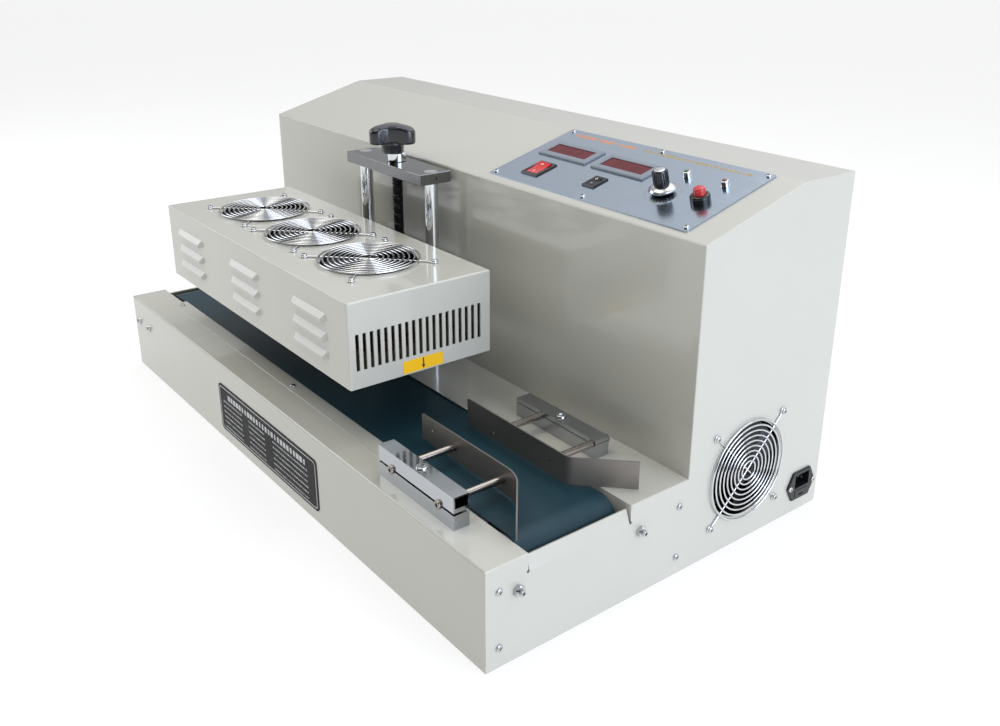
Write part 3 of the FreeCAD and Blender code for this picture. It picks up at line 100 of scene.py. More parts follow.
world = bpy.data.worlds.new("room")
world.use_nodes = True
room = world.node_tree
towards = add(room, "ShaderNodeVectorMath", {0: add(room, "ShaderNodeTexCoord").outputs["Generated"],
                                             1: (0.12, 0.5, 0.6)}, operation="DOT_PRODUCT")
brightness = add(room, "ShaderNodeMath", {0: towards.outputs["Value"], 1: 0.25}, operation="ADD",
                 use_clamp=True)
room.nodes["Background"].inputs["Color"].default_value = linear("#FBFCFF")
seen = add(room, "ShaderNodeLightPath").outputs["Is Camera Ray"]
backdrop = add(room, "ShaderNodeMath", {0: brightness.outputs[0], 1: seen}, operation="MAXIMUM")
room.links.new(backdrop.outputs[0], room.nodes["Background"].inputs["Strength"])
bpy.context.scene.world = world
bpy.context.scene.view_settings.view_transform = "Standard"

floor_mesh = bpy.data.meshes.new("floor")
reach = 40.0
floor_mesh.from_pydata([(-reach, -reach, 0), (reach, -reach, 0), (reach, reach, 0), (-reach, reach, 0)], [],
                       [(0, 1, 2, 3)])
floor = bpy.data.objects.new("floor", floor_mesh)
bpy.context.scene.collection.objects.link(floor)
paper, paper_tree, paper_gloss, paper_place = shader("matt_paper", "#949493", 0.9, 0.0, {
    "Emission Color": linear("#FFFFFF"), "Emission Strength": 0.7})
pulp = add(paper_tree, "ShaderNodeTexNoise", {"Vector": paper_place, "Scale": 3.0})
paper_tint = add(paper_tree, "ShaderNodeMixRGB", {"Fac": pulp.outputs[0], "Color1": linear("#949493"),
                                                  "Color2": linear("#8F8F8E")})
paper_tree.links.new(paper_tint.outputs[0], paper_gloss.inputs["Base Color"])
floor_mesh.materials.append(paper)

CAMERA_AT = (1.00285, -0.66085, 0.613)
CAMERA_AZIMUTH, CAMERA_TILT, CAMERA_ROLL = (math.radians(a) for a in (50.92, 20.69, 0.62))
back = Vector((math.sin(CAMERA_AZIMUTH) * math.cos(CAMERA_TILT),
               -math.cos(CAMERA_AZIMUTH) * math.cos(CAMERA_TILT),
               math.sin(CAMERA_TILT)))
right = (-back).cross(Vector((0, 0, 1))).normalized()
up = right.cross(-back)
right, up = (right * math.cos(CAMERA_ROLL) + up * math.sin(CAMERA_ROLL),
             up * math.cos(CAMERA_ROLL) - right * math.sin(CAMERA_ROLL))
eye = bpy.data.cameras.new("camera")
eye.lens = 36.07
eye.shift_x, eye.shift_y = -0.0252, -0.0529
eye.clip_start = 0.02
camera = bpy.data.objects.new("camera", eye)
bpy.context.scene.collection.objects.link(camera)
camera.matrix_world = Matrix.Translation(CAMERA_AT) @ Matrix((right, up, back)).transposed().to_4x4()
bpy.context.scene.camera = camera


# Base, cabinet and head covers: folded mild steel sheet, stove enamelled in warm ivory. The enamel
# flows into a faint orange peel and stays glossy, a little cooler where it lies thick.

def enamel(name, colour, thin, rough):
    """Stoved enamel: orange peel about 2 mm wide and a slow change of tint."""
    made, tree, gloss, place = shader(name, colour, rough, 0.0, {"Coat Weight": 0.7, "Coat Roughness": 0.05})
    cloud = add(tree, "ShaderNodeTexNoise", {"Vector": place, "Scale": 1000 / 160, "Detail": 2.0})
    tint = add(tree, "ShaderNodeMixRGB",
               {"Fac": cloud.outputs[0], "Color1": linear(colour), "Color2": linear(thin)})
    tree.links.new(tint.outputs[0], gloss.inputs["Base Color"])
    peel = add(tree, "ShaderNodeTexNoise", {"Vector": place, "Scale": 1000 / 2.4, "Detail": 1.0})
    shine = add(tree, "ShaderNodeMapRange",
                {"Value": cloud.outputs[0], "To Min": rough - 0.04, "To Max": rough + 0.05})
    tree.links.new(shine.outputs[0], gloss.inputs["Roughness"])
    bump = add(tree, "ShaderNodeBump", {"Height": peel.outputs[0], "Strength": 0.05, "Distance": 0.2 * MM})
    tree.links.new(bump.outputs[0], gloss.inputs["Normal"])
    return made


def dress(material, *names):
    """Gives CAD nodes their finish."""
    for name in names:
        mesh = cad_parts[name].data
        mesh.materials.clear()
        mesh.materials.append(material)


ivory = enamel("ivory_stove_enamel", "#BCBBB1", "#B6B5AB", 0.24)
dress(ivory, "front_cover", "rear_deck", "end_plate_left", "end_plate_right", "cabinet_shell", "back_panel",
      "belt_strips", "head_housing")


# Bottom pan, shaft supports, idler and the dial's potentiometer: zinc plated steel with its grey
# spangle. All but the pan, which is seen from beneath, lie inside the covers.

def zinc(name, colour, dark, spangle):
    """Zinc plate: crystals of a given width in millimetres, each a little lighter or darker."""
    made, tree, gloss, place = shader(name, colour, 0.42, 0.9)
    flakes = add(tree, "ShaderNodeTexVoronoi", {"Vector": place, "Scale": 1000 / spangle})
    tint = add(tree, "ShaderNodeMixRGB", {"Fac": flakes.outputs["Color"], "Color1": linear(colour),
                                          "Color2": linear(dark)})
    tree.links.new(tint.outputs[0], gloss.inputs["Base Color"])
    return made


spangled_zinc = zinc("spangled_zinc", "#B4B8BA", "#8E9294", 7.0)
dress(spangled_zinc, "bottom_pan", "shaft_supports", "idler_roller", "pot_body")


# Conveyor belt: one dark teal PVC belt on woven polyester, run tight over a rubber lagged drive roller
# and a steel idler. The cover is smooth with a low sheen; the weave just shows through it.

WAVE = 1000 / 6.283  # the scale that sets a wave's bands 1 mm apart


def belting(name, colour, worn):
    """PVC belting: the weave shows as a faint grid, drawn at 2 mm as the real 1 mm is too fine to see."""
    made, tree, gloss, place = shader(name, colour, 0.42, 0.0, {"Specular IOR Level": 0.3})
    warp = add(tree, "ShaderNodeTexWave", {"Vector": place, "Scale": WAVE / 2.0, "Distortion": 0.3},
               bands_direction="X")
    weft = add(tree, "ShaderNodeTexWave", {"Vector": place, "Scale": WAVE / 2.0, "Distortion": 0.3},
               bands_direction="Y")
    weave = add(tree, "ShaderNodeMath", {0: warp.outputs[1], 1: weft.outputs[1]}, operation="MULTIPLY")
    streak_place = add(tree, "ShaderNodeMapping", {"Vector": place, "Scale": (0.12, 1.0, 1.0)})
    streak = add(tree, "ShaderNodeTexNoise",
                 {"Vector": streak_place.outputs[0], "Scale": 1000 / 14, "Detail": 4.0})
    tint = add(tree, "ShaderNodeMixRGB",
               {"Fac": streak.outputs[0], "Color1": linear(colour), "Color2": linear(worn)})
    tree.links.new(tint.outputs[0], gloss.inputs["Base Color"])
    shine = add(tree, "ShaderNodeMapRange", {"Value": streak.outputs[0], "To Min": 0.34, "To Max": 0.5})
    tree.links.new(shine.outputs[0], gloss.inputs["Roughness"])
    bump = add(tree, "ShaderNodeBump", {"Height": weave.outputs[0], "Strength": 0.12, "Distance": 0.1 * MM})
    tree.links.new(bump.outputs[0], gloss.inputs["Normal"])
    return made


def moulded(name, colour, fleck, rough, grain, relief=0.15, more=None):
    """Moulded plastic or rubber: a spark-eroded grain of a given width in millimetres."""
    made, tree, gloss, place = shader(name, colour, rough, 0.0, more)
    skin = add(tree, "ShaderNodeTexNoise", {"Vector": place, "Scale": 1000 / grain, "Detail": 3.0})
    cloud = add(tree, "ShaderNodeTexNoise", {"Vector": place, "Scale": 1000 / 25, "Detail": 2.0})
    tint = add(tree, "ShaderNodeMixRGB",
               {"Fac": cloud.outputs[0], "Color1": linear(colour), "Color2": linear(fleck)})
    tree.links.new(tint.outputs[0], gloss.inputs["Base Color"])
    shine = add(tree, "ShaderNodeMapRange",
                {"Value": cloud.outputs[0], "To Min": rough * 0.85, "To Max": rough * 1.15})
    tree.links.new(shine.outputs[0], gloss.inputs["Roughness"])
    bump = add(tree, "ShaderNodeBump", {"Height": skin.outputs[0], "Strength": relief, "Distance": 0.1 * MM})
    tree.links.new(bump.outputs[0], gloss.inputs["Normal"])
    return made


dress(belting("teal_pvc_belting", "#122E37", "#1A3B46"), "conveyor_belt")
dress(moulded("black_lagging_rubber", "#1C1C1D", "#242425", 0.6, 1.5), "drive_roller")


# Slider bed under the belt: stainless sheet with a drawn satin grain. The gearmotor is a painted
# gearbox and motor; the head's carriage and the idler's tension blocks are milled aluminium.

def brushed(name, colour, dark, rough, along, grain=0.9, relief=0.1, metal=1.0):
    """Brushed or drawn metal: hair lines of a given width, 40 times as long along one axis."""
    made, tree, gloss, place = shader(name, colour, rough, metal)
    stretch = [1.0, 1.0, 1.0]
    stretch[along] = 0.025
    hair_place = add(tree, "ShaderNodeMapping", {"Vector": place, "Scale": stretch})
    hair = add(tree, "ShaderNodeTexNoise",
               {"Vector": hair_place.outputs[0], "Scale": 1000 / grain, "Detail": 3.0})
    tint = add(tree, "ShaderNodeMixRGB",
               {"Fac": hair.outputs[0], "Color1": linear(dark), "Color2": linear(colour)})
    tree.links.new(tint.outputs[0], gloss.inputs["Base Color"])
    shine = add(tree, "ShaderNodeMapRange",
                {"Value": hair.outputs[0], "To Min": rough - 0.06, "To Max": rough + 0.08})
    tree.links.new(shine.outputs[0], gloss.inputs["Roughness"])
    bump = add(tree, "ShaderNodeBump",
               {"Height": hair.outputs[0], "Strength": relief, "Distance": 0.05 * MM})
    tree.links.new(bump.outputs[0], gloss.inputs["Normal"])
    return made


satin_steel = brushed("satin_stainless_sheet", "#C3C4C4", "#9FA0A0", 0.3, 0)
milled_aluminium = brushed("milled_aluminium", "#C9CCCF", "#A9ACAF", 0.34, 2, 1.4)
motor_enamel = enamel("grey_motor_enamel", "#5A5D60", "#505356", 0.4)
dress(satin_steel, "belt_bed")
dress(milled_aluminium, "tension_blocks", "head_carriage")
dress(motor_enamel, "gearmotor")


# Fasteners: bright zinc pan heads with a crossed recess, socket screws and lock nuts.
# Plated steel has a fine satin from the barrel it is plated in.

def plated(name, colour, dark, rough):
    """Plating over polished steel: nearly a mirror, with a faint haze."""
    made, tree, gloss, place = shader(name, colour, rough, 1.0)
    haze = add(tree, "ShaderNodeTexNoise", {"Vector": place, "Scale": 1000 / 9, "Detail": 3.0})
    tint = add(tree, "ShaderNodeMixRGB",
               {"Fac": haze.outputs[0], "Color1": linear(dark), "Color2": linear(colour)})
    tree.links.new(tint.outputs[0], gloss.inputs["Base Color"])
    shine = add(tree, "ShaderNodeMapRange",
                {"Value": haze.outputs[0], "To Min": rough * 0.6, "To Max": rough * 1.5})
    tree.links.new(shine.outputs[0], gloss.inputs["Roughness"])
    return made


bright_zinc = plated("bright_zinc_plate", "#D4D6D8", "#B4B6B8", 0.18)
bright_chrome = plated("bright_chrome_plate", "#E4E6E8", "#CACCCE", 0.07)
dress(bright_zinc, "cover_screws", "roller_bolts", "head_fan_screws", "front_clamp_screw",
      "rear_clamp_screw")


# Generator board and induction coil: aluminium fins stand on green laminate, and dark ferrite bars on
# a flat winding of copper litz wire. The coil's board is glass fibre, the column bushes are bronze.

def two_layers(name, height, below, band_colour, above, metal, rough, band):
    """Two materials that meet at a height, the lower one banded every few millimetres."""
    made, tree, gloss, place = shader(name, below, rough, metal)
    split = add(tree, "ShaderNodeSeparateXYZ", {"Vector": place})
    upper = add(tree, "ShaderNodeMath", {0: split.outputs["Z"], 1: height}, operation="GREATER_THAN")
    lines = add(tree, "ShaderNodeTexWave", {"Vector": place, "Scale": WAVE / band, "Distortion": 2.0})
    ground = add(tree, "ShaderNodeMixRGB", {"Fac": lines.outputs[1], "Color1": linear(below),
                                            "Color2": linear(band_colour)})
    tint = add(tree, "ShaderNodeMixRGB", {"Fac": upper.outputs[0], "Color1": ground.outputs[0],
                                          "Color2": linear(above)})
    tree.links.new(tint.outputs[0], gloss.inputs["Base Color"])
    return made


BOARD_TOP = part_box("generator_board")[0].z + 12.5 * MM
dress(two_layers("laminate_under_heat_sink", BOARD_TOP, "#1F4A2C", "#2F6A40", "#B8BBBE", 0.3, 0.4, 6.0),
      "generator_board")
COIL_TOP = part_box("induction_coil")[0].z + 10 * MM
dress(two_layers("litz_winding_under_ferrite", COIL_TOP, "#4A2C1A", "#2E1B10", "#1A1A1B", 0.3, 0.5, 3.0),
      "induction_coil")
dress(moulded("glass_fibre_board", "#6E684F", "#625C45", 0.55, 1.2), "head_base_plate")
dress(brushed("bearing_bronze", "#B98A4A", "#94692F", 0.35, 2), "column_bushes")


# Mains inlet: black moulded inlet with three plated blades and a fuse drawer below them, held in the
# end plate by two screws. The blades are bent strip, rounded at the tip.

def skin(rings, closed=True):
    """A mesh over rings of points, each ring as long as the last; closed fills the first and last."""
    made = bmesh.new()
    rows = [[made.verts.new(p) for p in ring] for ring in rings]
    count = len(rows[0])
    for low, high in zip(rows, rows[1:]):
        for i in range(count):
            j = (i + 1) % count
            made.faces.new((low[i], low[j], high[j], high[i]))
    if closed:
        made.faces.new(rows[0][::-1])
        made.faces.new(rows[-1])
    return made


def turned(profile, sides=48):
    """A turned shape about Z from (radius, height) pairs that run up the outside, with flat ends."""
    rings = []
    for radius, height in profile:
        turns = [2 * math.pi * i / sides for i in range(sides)]
        rings.append([(radius * MM * math.cos(t), radius * MM * math.sin(t), height * MM) for t in turns])
    return skin(rings)


def bar(x, y, z):
    """A plain bar in millimetres between two limits on each axis, for pieces that are then bevelled."""
    flat = [(x[0], y[0]), (x[1], y[0]), (x[1], y[1]), (x[0], y[1])]
    return skin([[(a * MM, b * MM, h * MM) for a, b in flat] for h in z])


def join(shapes):
    """Several meshes as one."""
    whole = bmesh.new()
    for shape in shapes:
        part = bpy.data.meshes.new("part")
        shape.to_mesh(part)
        shape.free()
        whole.from_mesh(part)
        bpy.data.meshes.remove(part)
    return whole


SHARP = math.radians(38)


def piece(name, shape, material, body, place=Matrix.Identity(4), stands_for=(), bevel=0.0,
          smooth=True):
    """Puts a shape in its place, with its material, rounded edges in millimetres and the body it rides."""
    if isinstance(shape, bpy.types.Mesh):
        mesh = shape
    else:
        mesh = bpy.data.meshes.new(name)
        bmesh.ops.recalc_face_normals(shape, faces=shape.faces)
        shape.to_mesh(mesh)
        shape.free()
        mesh.materials.append(material)
    mesh.transform(place)
    if smooth:
        mesh.shade_smooth()
        mesh.set_sharp_from_angle(angle=SHARP)
    made = bpy.data.objects.new(name, mesh)
    bpy.context.scene.collection.objects.link(made)
    if bevel:
        softened = made.modifiers.new("rounded", "BEVEL")
        softened.width = bevel * MM
        softened.segments = 3
        softened.limit_method = "ANGLE"
        softened.angle_limit = SHARP
    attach(made, body)
    if stands_for:
        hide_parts(*stands_for)
    return made


inlet_black = moulded("black_moulded_nylon", "#17181A", "#1E1F21", 0.34, 0.8)
dress(inlet_black, "power_inlet", "fuse_drawer")
inlet_low, inlet_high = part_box("power_inlet")
inlet_y, inlet_z = (inlet_low.y + inlet_high.y) / 2, (inlet_low.z + inlet_high.z) / 2
blades = []
for side, height in ((-7.0, 4.5), (7.0, 4.5), (0.0, 8.5)):
    blades.append(bar((-11.0, -3.0), (side - 1.15, side + 1.15), (height - 2.15, height + 2.15)))
piece("inlet_blades", join(blades), bright_zinc, "machine",
      Matrix.Translation((inlet_high.x - 2 * MM, inlet_y, inlet_z)), bevel=0.7)


# Nameplate: black anodised plate on the front cover with a printed silver border, a heading and rows
# of entries. The entries are plain dashes; every dash is a film of print 0.05 mm thick.

def grown(name, tree, sizes, place):
    """Runs a node tree with its sizes set by name and keeps the result as a plain mesh in its place."""
    seedling = bpy.data.objects.new(name, bpy.data.meshes.new(name))
    bpy.context.scene.collection.objects.link(seedling)
    growth = seedling.modifiers.new("growth", "NODES")
    growth.node_group = tree
    for item in tree.interface.items_tree:
        if item.in_out == "INPUT" and item.name in sizes:
            growth[item.identifier] = sizes[item.name]
    bpy.context.view_layer.update()
    evaluated = seedling.evaluated_get(bpy.context.evaluated_depsgraph_get())
    mesh = bpy.data.meshes.new_from_object(evaluated)
    seedling.modifiers.clear()
    bpy.data.objects.remove(seedling)
    mesh.transform(place)
    return mesh


def new_tree(name, inputs):
    """An empty node tree with named inputs; returns it, its inputs and a call that ends it."""
    tree = bpy.data.node_groups.new(name, "GeometryNodeTree")
    for label, kind in inputs.items():
        tree.interface.new_socket(label, in_out="INPUT", socket_type=kind)
    tree.interface.new_socket("Mesh", in_out="OUTPUT", socket_type="NodeSocketGeometry")
    given = add(tree, "NodeGroupInput").outputs

    def end(instances):
        real = add(tree, "GeometryNodeRealizeInstances", {"Geometry": instances})
        painted = add(tree, "GeometryNodeSetMaterial",
                      {"Geometry": real.outputs[0], "Material": given["Material"]})
        add(tree, "NodeGroupOutput", {"Mesh": painted.outputs[0]})
        return tree

    return tree, given, end


def dash_tree():
    """A line of printed dashes, evenly set, each of its own length."""
    tree, given, end = new_tree("printed_dashes", {
        "Count": "NodeSocketInt", "Pitch": "NodeSocketFloat", "Height": "NodeSocketFloat",
        "Film": "NodeSocketFloat", "Seed": "NodeSocketInt", "Material": "NodeSocketMaterial"})
    step = add(tree, "ShaderNodeCombineXYZ", {0: given["Pitch"]})
    line = add(tree, "GeometryNodeMeshLine", {"Count": given["Count"], "Offset": step.outputs[0]})
    size = add(tree, "ShaderNodeCombineXYZ", {0: given["Pitch"], 1: given["Height"], 2: given["Film"]})
    dash = add(tree, "GeometryNodeMeshCube", {"Size": size.outputs[0]})
    spread = add(tree, "FunctionNodeRandomValue", {2: 0.35, 3: 0.85, "Seed": given["Seed"]},
                 data_type="FLOAT")
    width = add(tree, "ShaderNodeCombineXYZ", {0: spread.outputs[1], 1: 1.0, 2: 1.0})
    dashes = add(tree, "GeometryNodeInstanceOnPoints",
                 {"Points": line.outputs[0], "Instance": dash.outputs[0], "Scale": width.outputs[0]})
    return end(dashes.outputs[0])


printed = dash_tree()
FILM = 0.05 * MM


def dashes(rows, material, place):
    """Rows of dashes on a plane: (left, level, count, pitch, height, seed), in millimetres."""
    whole = bmesh.new()
    for left, level, count, pitch, height, seed in rows:
        row = grown("dashes", printed,
                    {"Count": count, "Pitch": pitch * MM, "Height": height * MM, "Film": FILM,
                     "Seed": seed, "Material": material},
                    Matrix.Translation(((left + pitch / 2) * MM, level * MM, FILM / 2)))
        whole.from_mesh(row)
        bpy.data.meshes.remove(row)
    mesh = bpy.data.meshes.new("print")
    whole.to_mesh(mesh)
    whole.free()
    mesh.materials.clear()
    mesh.materials.append(material)
    mesh.transform(place)
    return mesh


anodised = moulded("black_anodised_plate", "#101112", "#151617", 0.5, 0.5, 0.15, {"Specular IOR Level": 0.2})
silver_print = plated("silver_screen_print", "#C8CACC", "#B2B4B6", 0.4)
dress(anodised, "nameplate")
plate_low, plate_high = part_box("nameplate")
plate_w, plate_h = ((plate_high - plate_low).x / MM, (plate_high - plate_low).z / MM)
on_plate = Matrix.Translation((plate_low.x, plate_low.y, plate_low.z)) @ Matrix.Rotation(math.pi / 2, 4, "X")
rows = [(26, plate_h - 13, 26, 8.0, 7.0, 3)]
levels = (42.5, 35.5, 28.5, 21.5, 14.5, 7.5)
for left, count, pitch, seed in ((12, 16, 3.4, 5), (84, 15, 3.0, 15), (150, 24, 3.6, 25)):
    rows += [(left, level, count, pitch, 1.7, seed + i) for i, level in enumerate(levels)]
piece("nameplate_print", dashes(rows, silver_print, on_plate), silver_print, "machine",
      smooth=False)
RIM_OUT, RIM_IN, CORNER, PRINT_T = 2.5, 3.7, 8, 0.05
border = []
for y0, y1 in ((RIM_OUT, RIM_IN), (plate_h - RIM_IN, plate_h - RIM_OUT)):
    border.append(bar((CORNER, plate_w - CORNER), (y0, y1), (0, PRINT_T)))
for x0, x1 in ((RIM_OUT, RIM_IN), (plate_w - RIM_IN, plate_w - RIM_OUT)):
    border.append(bar((x0, x1), (CORNER, plate_h - CORNER), (0, PRINT_T)))
for corner_x, corner_y, first in ((CORNER, CORNER, 180), (plate_w - CORNER, CORNER, 270),
                                  (plate_w - CORNER, plate_h - CORNER, 0), (CORNER, plate_h - CORNER, 90)):
    turns = [math.radians(first + 90 * i / 8) for i in range(9)]
    wide, tight = CORNER - RIM_OUT, CORNER - RIM_IN
    outer = [(corner_x + wide * math.cos(t), corner_y + wide * math.sin(t)) for t in turns]
    inner = [(corner_x + tight * math.cos(t), corner_y + tight * math.sin(t)) for t in turns[::-1]]
    border.append(skin([[(x * MM, y * MM, h * MM) for x, y in outer + inner] for h in (0, PRINT_T)]))
piece("nameplate_border", join(border), silver_print, "machine", on_plate, smooth=False)


# Fans: three 120 mm axial fans under the head's top and one behind the end plate, in black glass-filled
# plastic. The blades are swept and thin at the tip; a foil label lies on each hub.

fan_plastic = moulded("black_glass_filled_plastic", "#141516", "#1B1C1D", 0.38, 0.7)
hub_foil = brushed("hub_foil_label", "#B9BCC0", "#A2A5A9", 0.35, 0, 1.0)
dress(fan_plastic, "head_fan_frames", "end_fan_frame")
HUB_R, BLADE_R, BLADES = 19.0, 55.5, 7


def impeller(depth):
    """Hub with seven swept blades, its face on z = 0 and its body below."""
    parts = [turned([(HUB_R - 2, -depth), (HUB_R, -depth), (HUB_R, -1.5), (HUB_R - 1.5, 0)], 40)]
    for blade in range(BLADES):
        rings = []
        for step in range(9):
            share = step / 8
            radius = HUB_R - 0.5 + (BLADE_R - HUB_R + 0.5) * share
            pitch = math.radians(40 - 16 * share)
            half = 11.5 + 5.0 * share
            thick = 1.1 - 0.5 * share
            sweep = 2 * math.pi * blade / BLADES + math.radians(14) * share ** 2
            ring = []
            for chord, side in ((-1, 1), (-0.3, 1), (0.4, 1), (1, 1), (1, -1), (0.4, -1), (-0.3, -1),
                                (-1, -1)):
                across = half * chord * math.cos(pitch)
                camber = 2.2 * (1 - chord * chord)
                level = -half * chord * math.sin(pitch) + camber + side * thick / 2 - depth / 2
                level = max(-depth + 0.2, min(-0.2, level))
                turn = sweep + across / radius
                ring.append((radius * MM * math.cos(turn), radius * MM * math.sin(turn), level * MM))
            rings.append(ring)
        parts.append(skin(rings))
    return join(parts)


def stand_at(node, axis):
    """Where a CAD node's far face is along an axis, on its middle."""
    low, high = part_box(node)
    place = (low + high) / 2
    if axis == "Z":
        place.z = high.z
        return Matrix.Translation(place)
    place.x = high.x
    return Matrix.Translation(place) @ Matrix.Rotation(math.pi / 2, 4, "Y")


for node, body, axis in (("head_impeller_1", "fan_1", "Z"), ("head_impeller_2", "fan_2", "Z"),
                         ("head_impeller_3", "fan_3", "Z"), ("end_impeller", "fan_end", "X")):
    place = stand_at(node, axis)
    piece(node + "_blades", impeller(20.0), fan_plastic, body, place, (node,))
    label = turned([(HUB_R - 3.2, -0.1), (HUB_R - 3.2, -0.02)], 40)
    piece(node + "_label", label, hub_foil, body, place)

dress(bright_chrome, "head_fan_guards", "end_fan_guard")


# Label on the head's end: yellow vinyl with a black arrow that points down to the coil's edge.
# The arrow is printed, so it is a thin film on the vinyl.

warning_vinyl = moulded("yellow_vinyl", "#F2BE0C", "#E8B206", 0.4, 1.5, 0.05)
black_print = moulded("black_screen_print", "#101010", "#181818", 0.5, 0.8, 0.05)
dress(warning_vinyl, "arrow_label")
label_low, label_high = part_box("arrow_label")
arrow = [(-0.8, 6.2), (-0.8, -1.8), (-2.3, -1.8), (0, -6.2), (2.3, -1.8), (0.8, -1.8), (0.8, 6.2)]
arrow_shape = skin([[(h * MM, y * MM, z * MM) for y, z in arrow] for h in (0.0, 0.05)])
piece("arrow_print", arrow_shape, black_print, "head",
      Matrix.Translation((label_high.x, (label_low.y + label_high.y) / 2, (label_low.z + label_high.z) / 2)),
      smooth=False)


# Lift: two hard chromed columns and a ground steel bar over them. The lead screw between them is
# black oxided; its 3 mm thread is cut over its whole free length.

ground_steel = brushed("ground_bare_steel", "#7F8080", "#727373", 0.2, 0, 0.6, 0.02)
dress(bright_chrome, "lift_columns", "knob_collar")
dress(ground_steel, "cross_bars")
black_oxide = moulded("black_oxide_steel", "#0C0C0D", "#121213", 0.4, 0.6, 0.1, {"Metallic": 0.3})


def thread_tree():
    """A helical ridge: a coil swept with a small triangle."""
    tree, given, end = new_tree("screw_thread", {
        "Turns": "NodeSocketFloat", "Radius": "NodeSocketFloat", "Length": "NodeSocketFloat",
        "Ridge": "NodeSocketFloat", "Material": "NodeSocketMaterial"})
    coil = add(tree, "GeometryNodeCurveSpiral",
               {"Resolution": 24, "Rotations": given["Turns"], "Start Radius": given["Radius"],
                "End Radius": given["Radius"], "Height": given["Length"]})
    ridge = add(tree, "GeometryNodeCurvePrimitiveCircle", {"Resolution": 3, "Radius": given["Ridge"]})
    swept = add(tree, "GeometryNodeCurveToMesh",
                {"Curve": coil.outputs[0], "Profile Curve": ridge.outputs[0], "Fill Caps": True})
    return end(swept.outputs[0])


screw_low, screw_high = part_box("lead_screw")
screw_length = (screw_high - screw_low).z / MM
screw_foot = Matrix.Translation(((screw_low.x + screw_high.x) / 2, (screw_low.y + screw_high.y) / 2,
                                 screw_low.z))
SCREW_R, SHANK_R, THREAD_PITCH, PLAIN_END = 5.9, 6.9, 3.0, 30
threaded = screw_length - PLAIN_END
core = turned([(SCREW_R - 0.5, 0), (SCREW_R, 0.8), (SCREW_R, threaded + 2), (SHANK_R, threaded + 4),
               (SHANK_R, screw_length)])
piece("lead_screw_core", core, black_oxide, "lift_knob", screw_foot, ("lead_screw",))
thread = grown("lead_screw_thread", thread_tree(), {
    "Turns": threaded / THREAD_PITCH, "Radius": SCREW_R * MM, "Length": threaded * MM, "Ridge": 1.0 * MM,
    "Material": black_oxide}, screw_foot @ Matrix.Translation((0, 0, 1.5 * MM)))
piece("lead_screw_thread", thread, black_oxide, "lift_knob")


# Hand knob: one moulding in black phenolic, three rounded lobes with waists between them, a low dome
# above and a tapered neck below. Phenolic has a deep gloss and a slight mottle.

bakelite = moulded("black_phenolic", "#15171B", "#1F2228", 0.2, 1.6, 0.06,
                   {"Coat Weight": 0.3, "Coat Roughness": 0.08})
knob_low, knob_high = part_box("star_knob")
knob_middle = (knob_low + knob_high) / 2
KNOB_R, LOBE_R, CORE_R, LOBES, LOBE_TURN = 30.9, 9.5, 14.8, 3, math.radians(28.5)
NECK, DOME_R, BLEND = (13.2, 15.0), 92.0, 8
knob_tall = (knob_high - knob_low).z / MM
neck_tall = 12.5


def lobed(inset, height, domed=0, share=1.0):
    """One ring of the knob: its lobes and waists, drawn in by a distance or a share, flat or domed."""
    ring = []
    for i in range(160):
        turn = 2 * math.pi * i / 160
        off = abs((turn - LOBE_TURN + math.pi / LOBES) % (2 * math.pi / LOBES) - math.pi / LOBES)
        across = (KNOB_R - LOBE_R) * math.sin(off)
        cap = (KNOB_R - LOBE_R) * math.cos(off) + math.sqrt(max(LOBE_R ** 2 - across ** 2, 0))
        lobe = cap if cap * math.cos(off) > KNOB_R - LOBE_R else LOBE_R / math.sin(off)
        radius = ((lobe ** BLEND + CORE_R ** BLEND) ** (1 / BLEND) - inset) * share
        level = height - domed * radius ** 2 / (2 * DOME_R)
        ring.append((radius * MM * math.cos(turn), radius * MM * math.sin(turn), level * MM))
    return ring


under = ((6.0, 0.5), (2.2, 0.0), (0.8, 0.5), (0.15, 2.0), (0.0, 4.0))
over = ((0.0, 4.6), (0.2, 3.2), (0.7, 2.0), (1.6, 1.1), (2.9, 0.4), (4.6, 0.1))
lobe_rings = [lobed(inset, neck_tall + rise) for inset, rise in under]
lobe_rings += [lobed(inset, knob_tall - drop, 1) for inset, drop in over]
lobe_rings += [lobed(over[-1][0], knob_tall, 1, share) for share in (0.8, 0.6, 0.4, 0.2, 0.05)]
neck = turned([(NECK[0] - 0.6, 0), (NECK[0], 0.6), (NECK[1] - 0.8, neck_tall - 3), (NECK[1], neck_tall - 1),
               (NECK[1] - 0.5, neck_tall + 1.5)])
piece("hand_knob", join([skin(lobe_rings), neck]), bakelite, "lift_knob",
      Matrix.Translation((knob_middle.x, knob_middle.y, knob_low.z)), ("star_knob",))


# Product guides: satin stainless plates on ground stainless rods, held by clamps of drawn aluminium
# whose faces are bright enough to mirror the belt.

guide_steel = brushed("satin_stainless_guide", "#8D8882", "#847F79", 0.42, 0, 0.6, 0.02, 0.8)
drawn_aluminium = brushed("drawn_bright_aluminium", "#B9BCC0", "#ADB0B4", 0.1, 0, 0.6, 0.01)
dress(guide_steel, "front_guide_plate", "rear_guide_plate")
dress(plated("ground_stainless_rod", "#A8A19A", "#98918A", 0.24), "front_guide_rods", "rear_guide_rods")
dress(drawn_aluminium, "front_clamp", "rear_clamp")


# Control panel: brushed stainless plate with six screws, printed in orange and ochre. The print is a
# heading and short captions, given here as plain dashes in the same places.

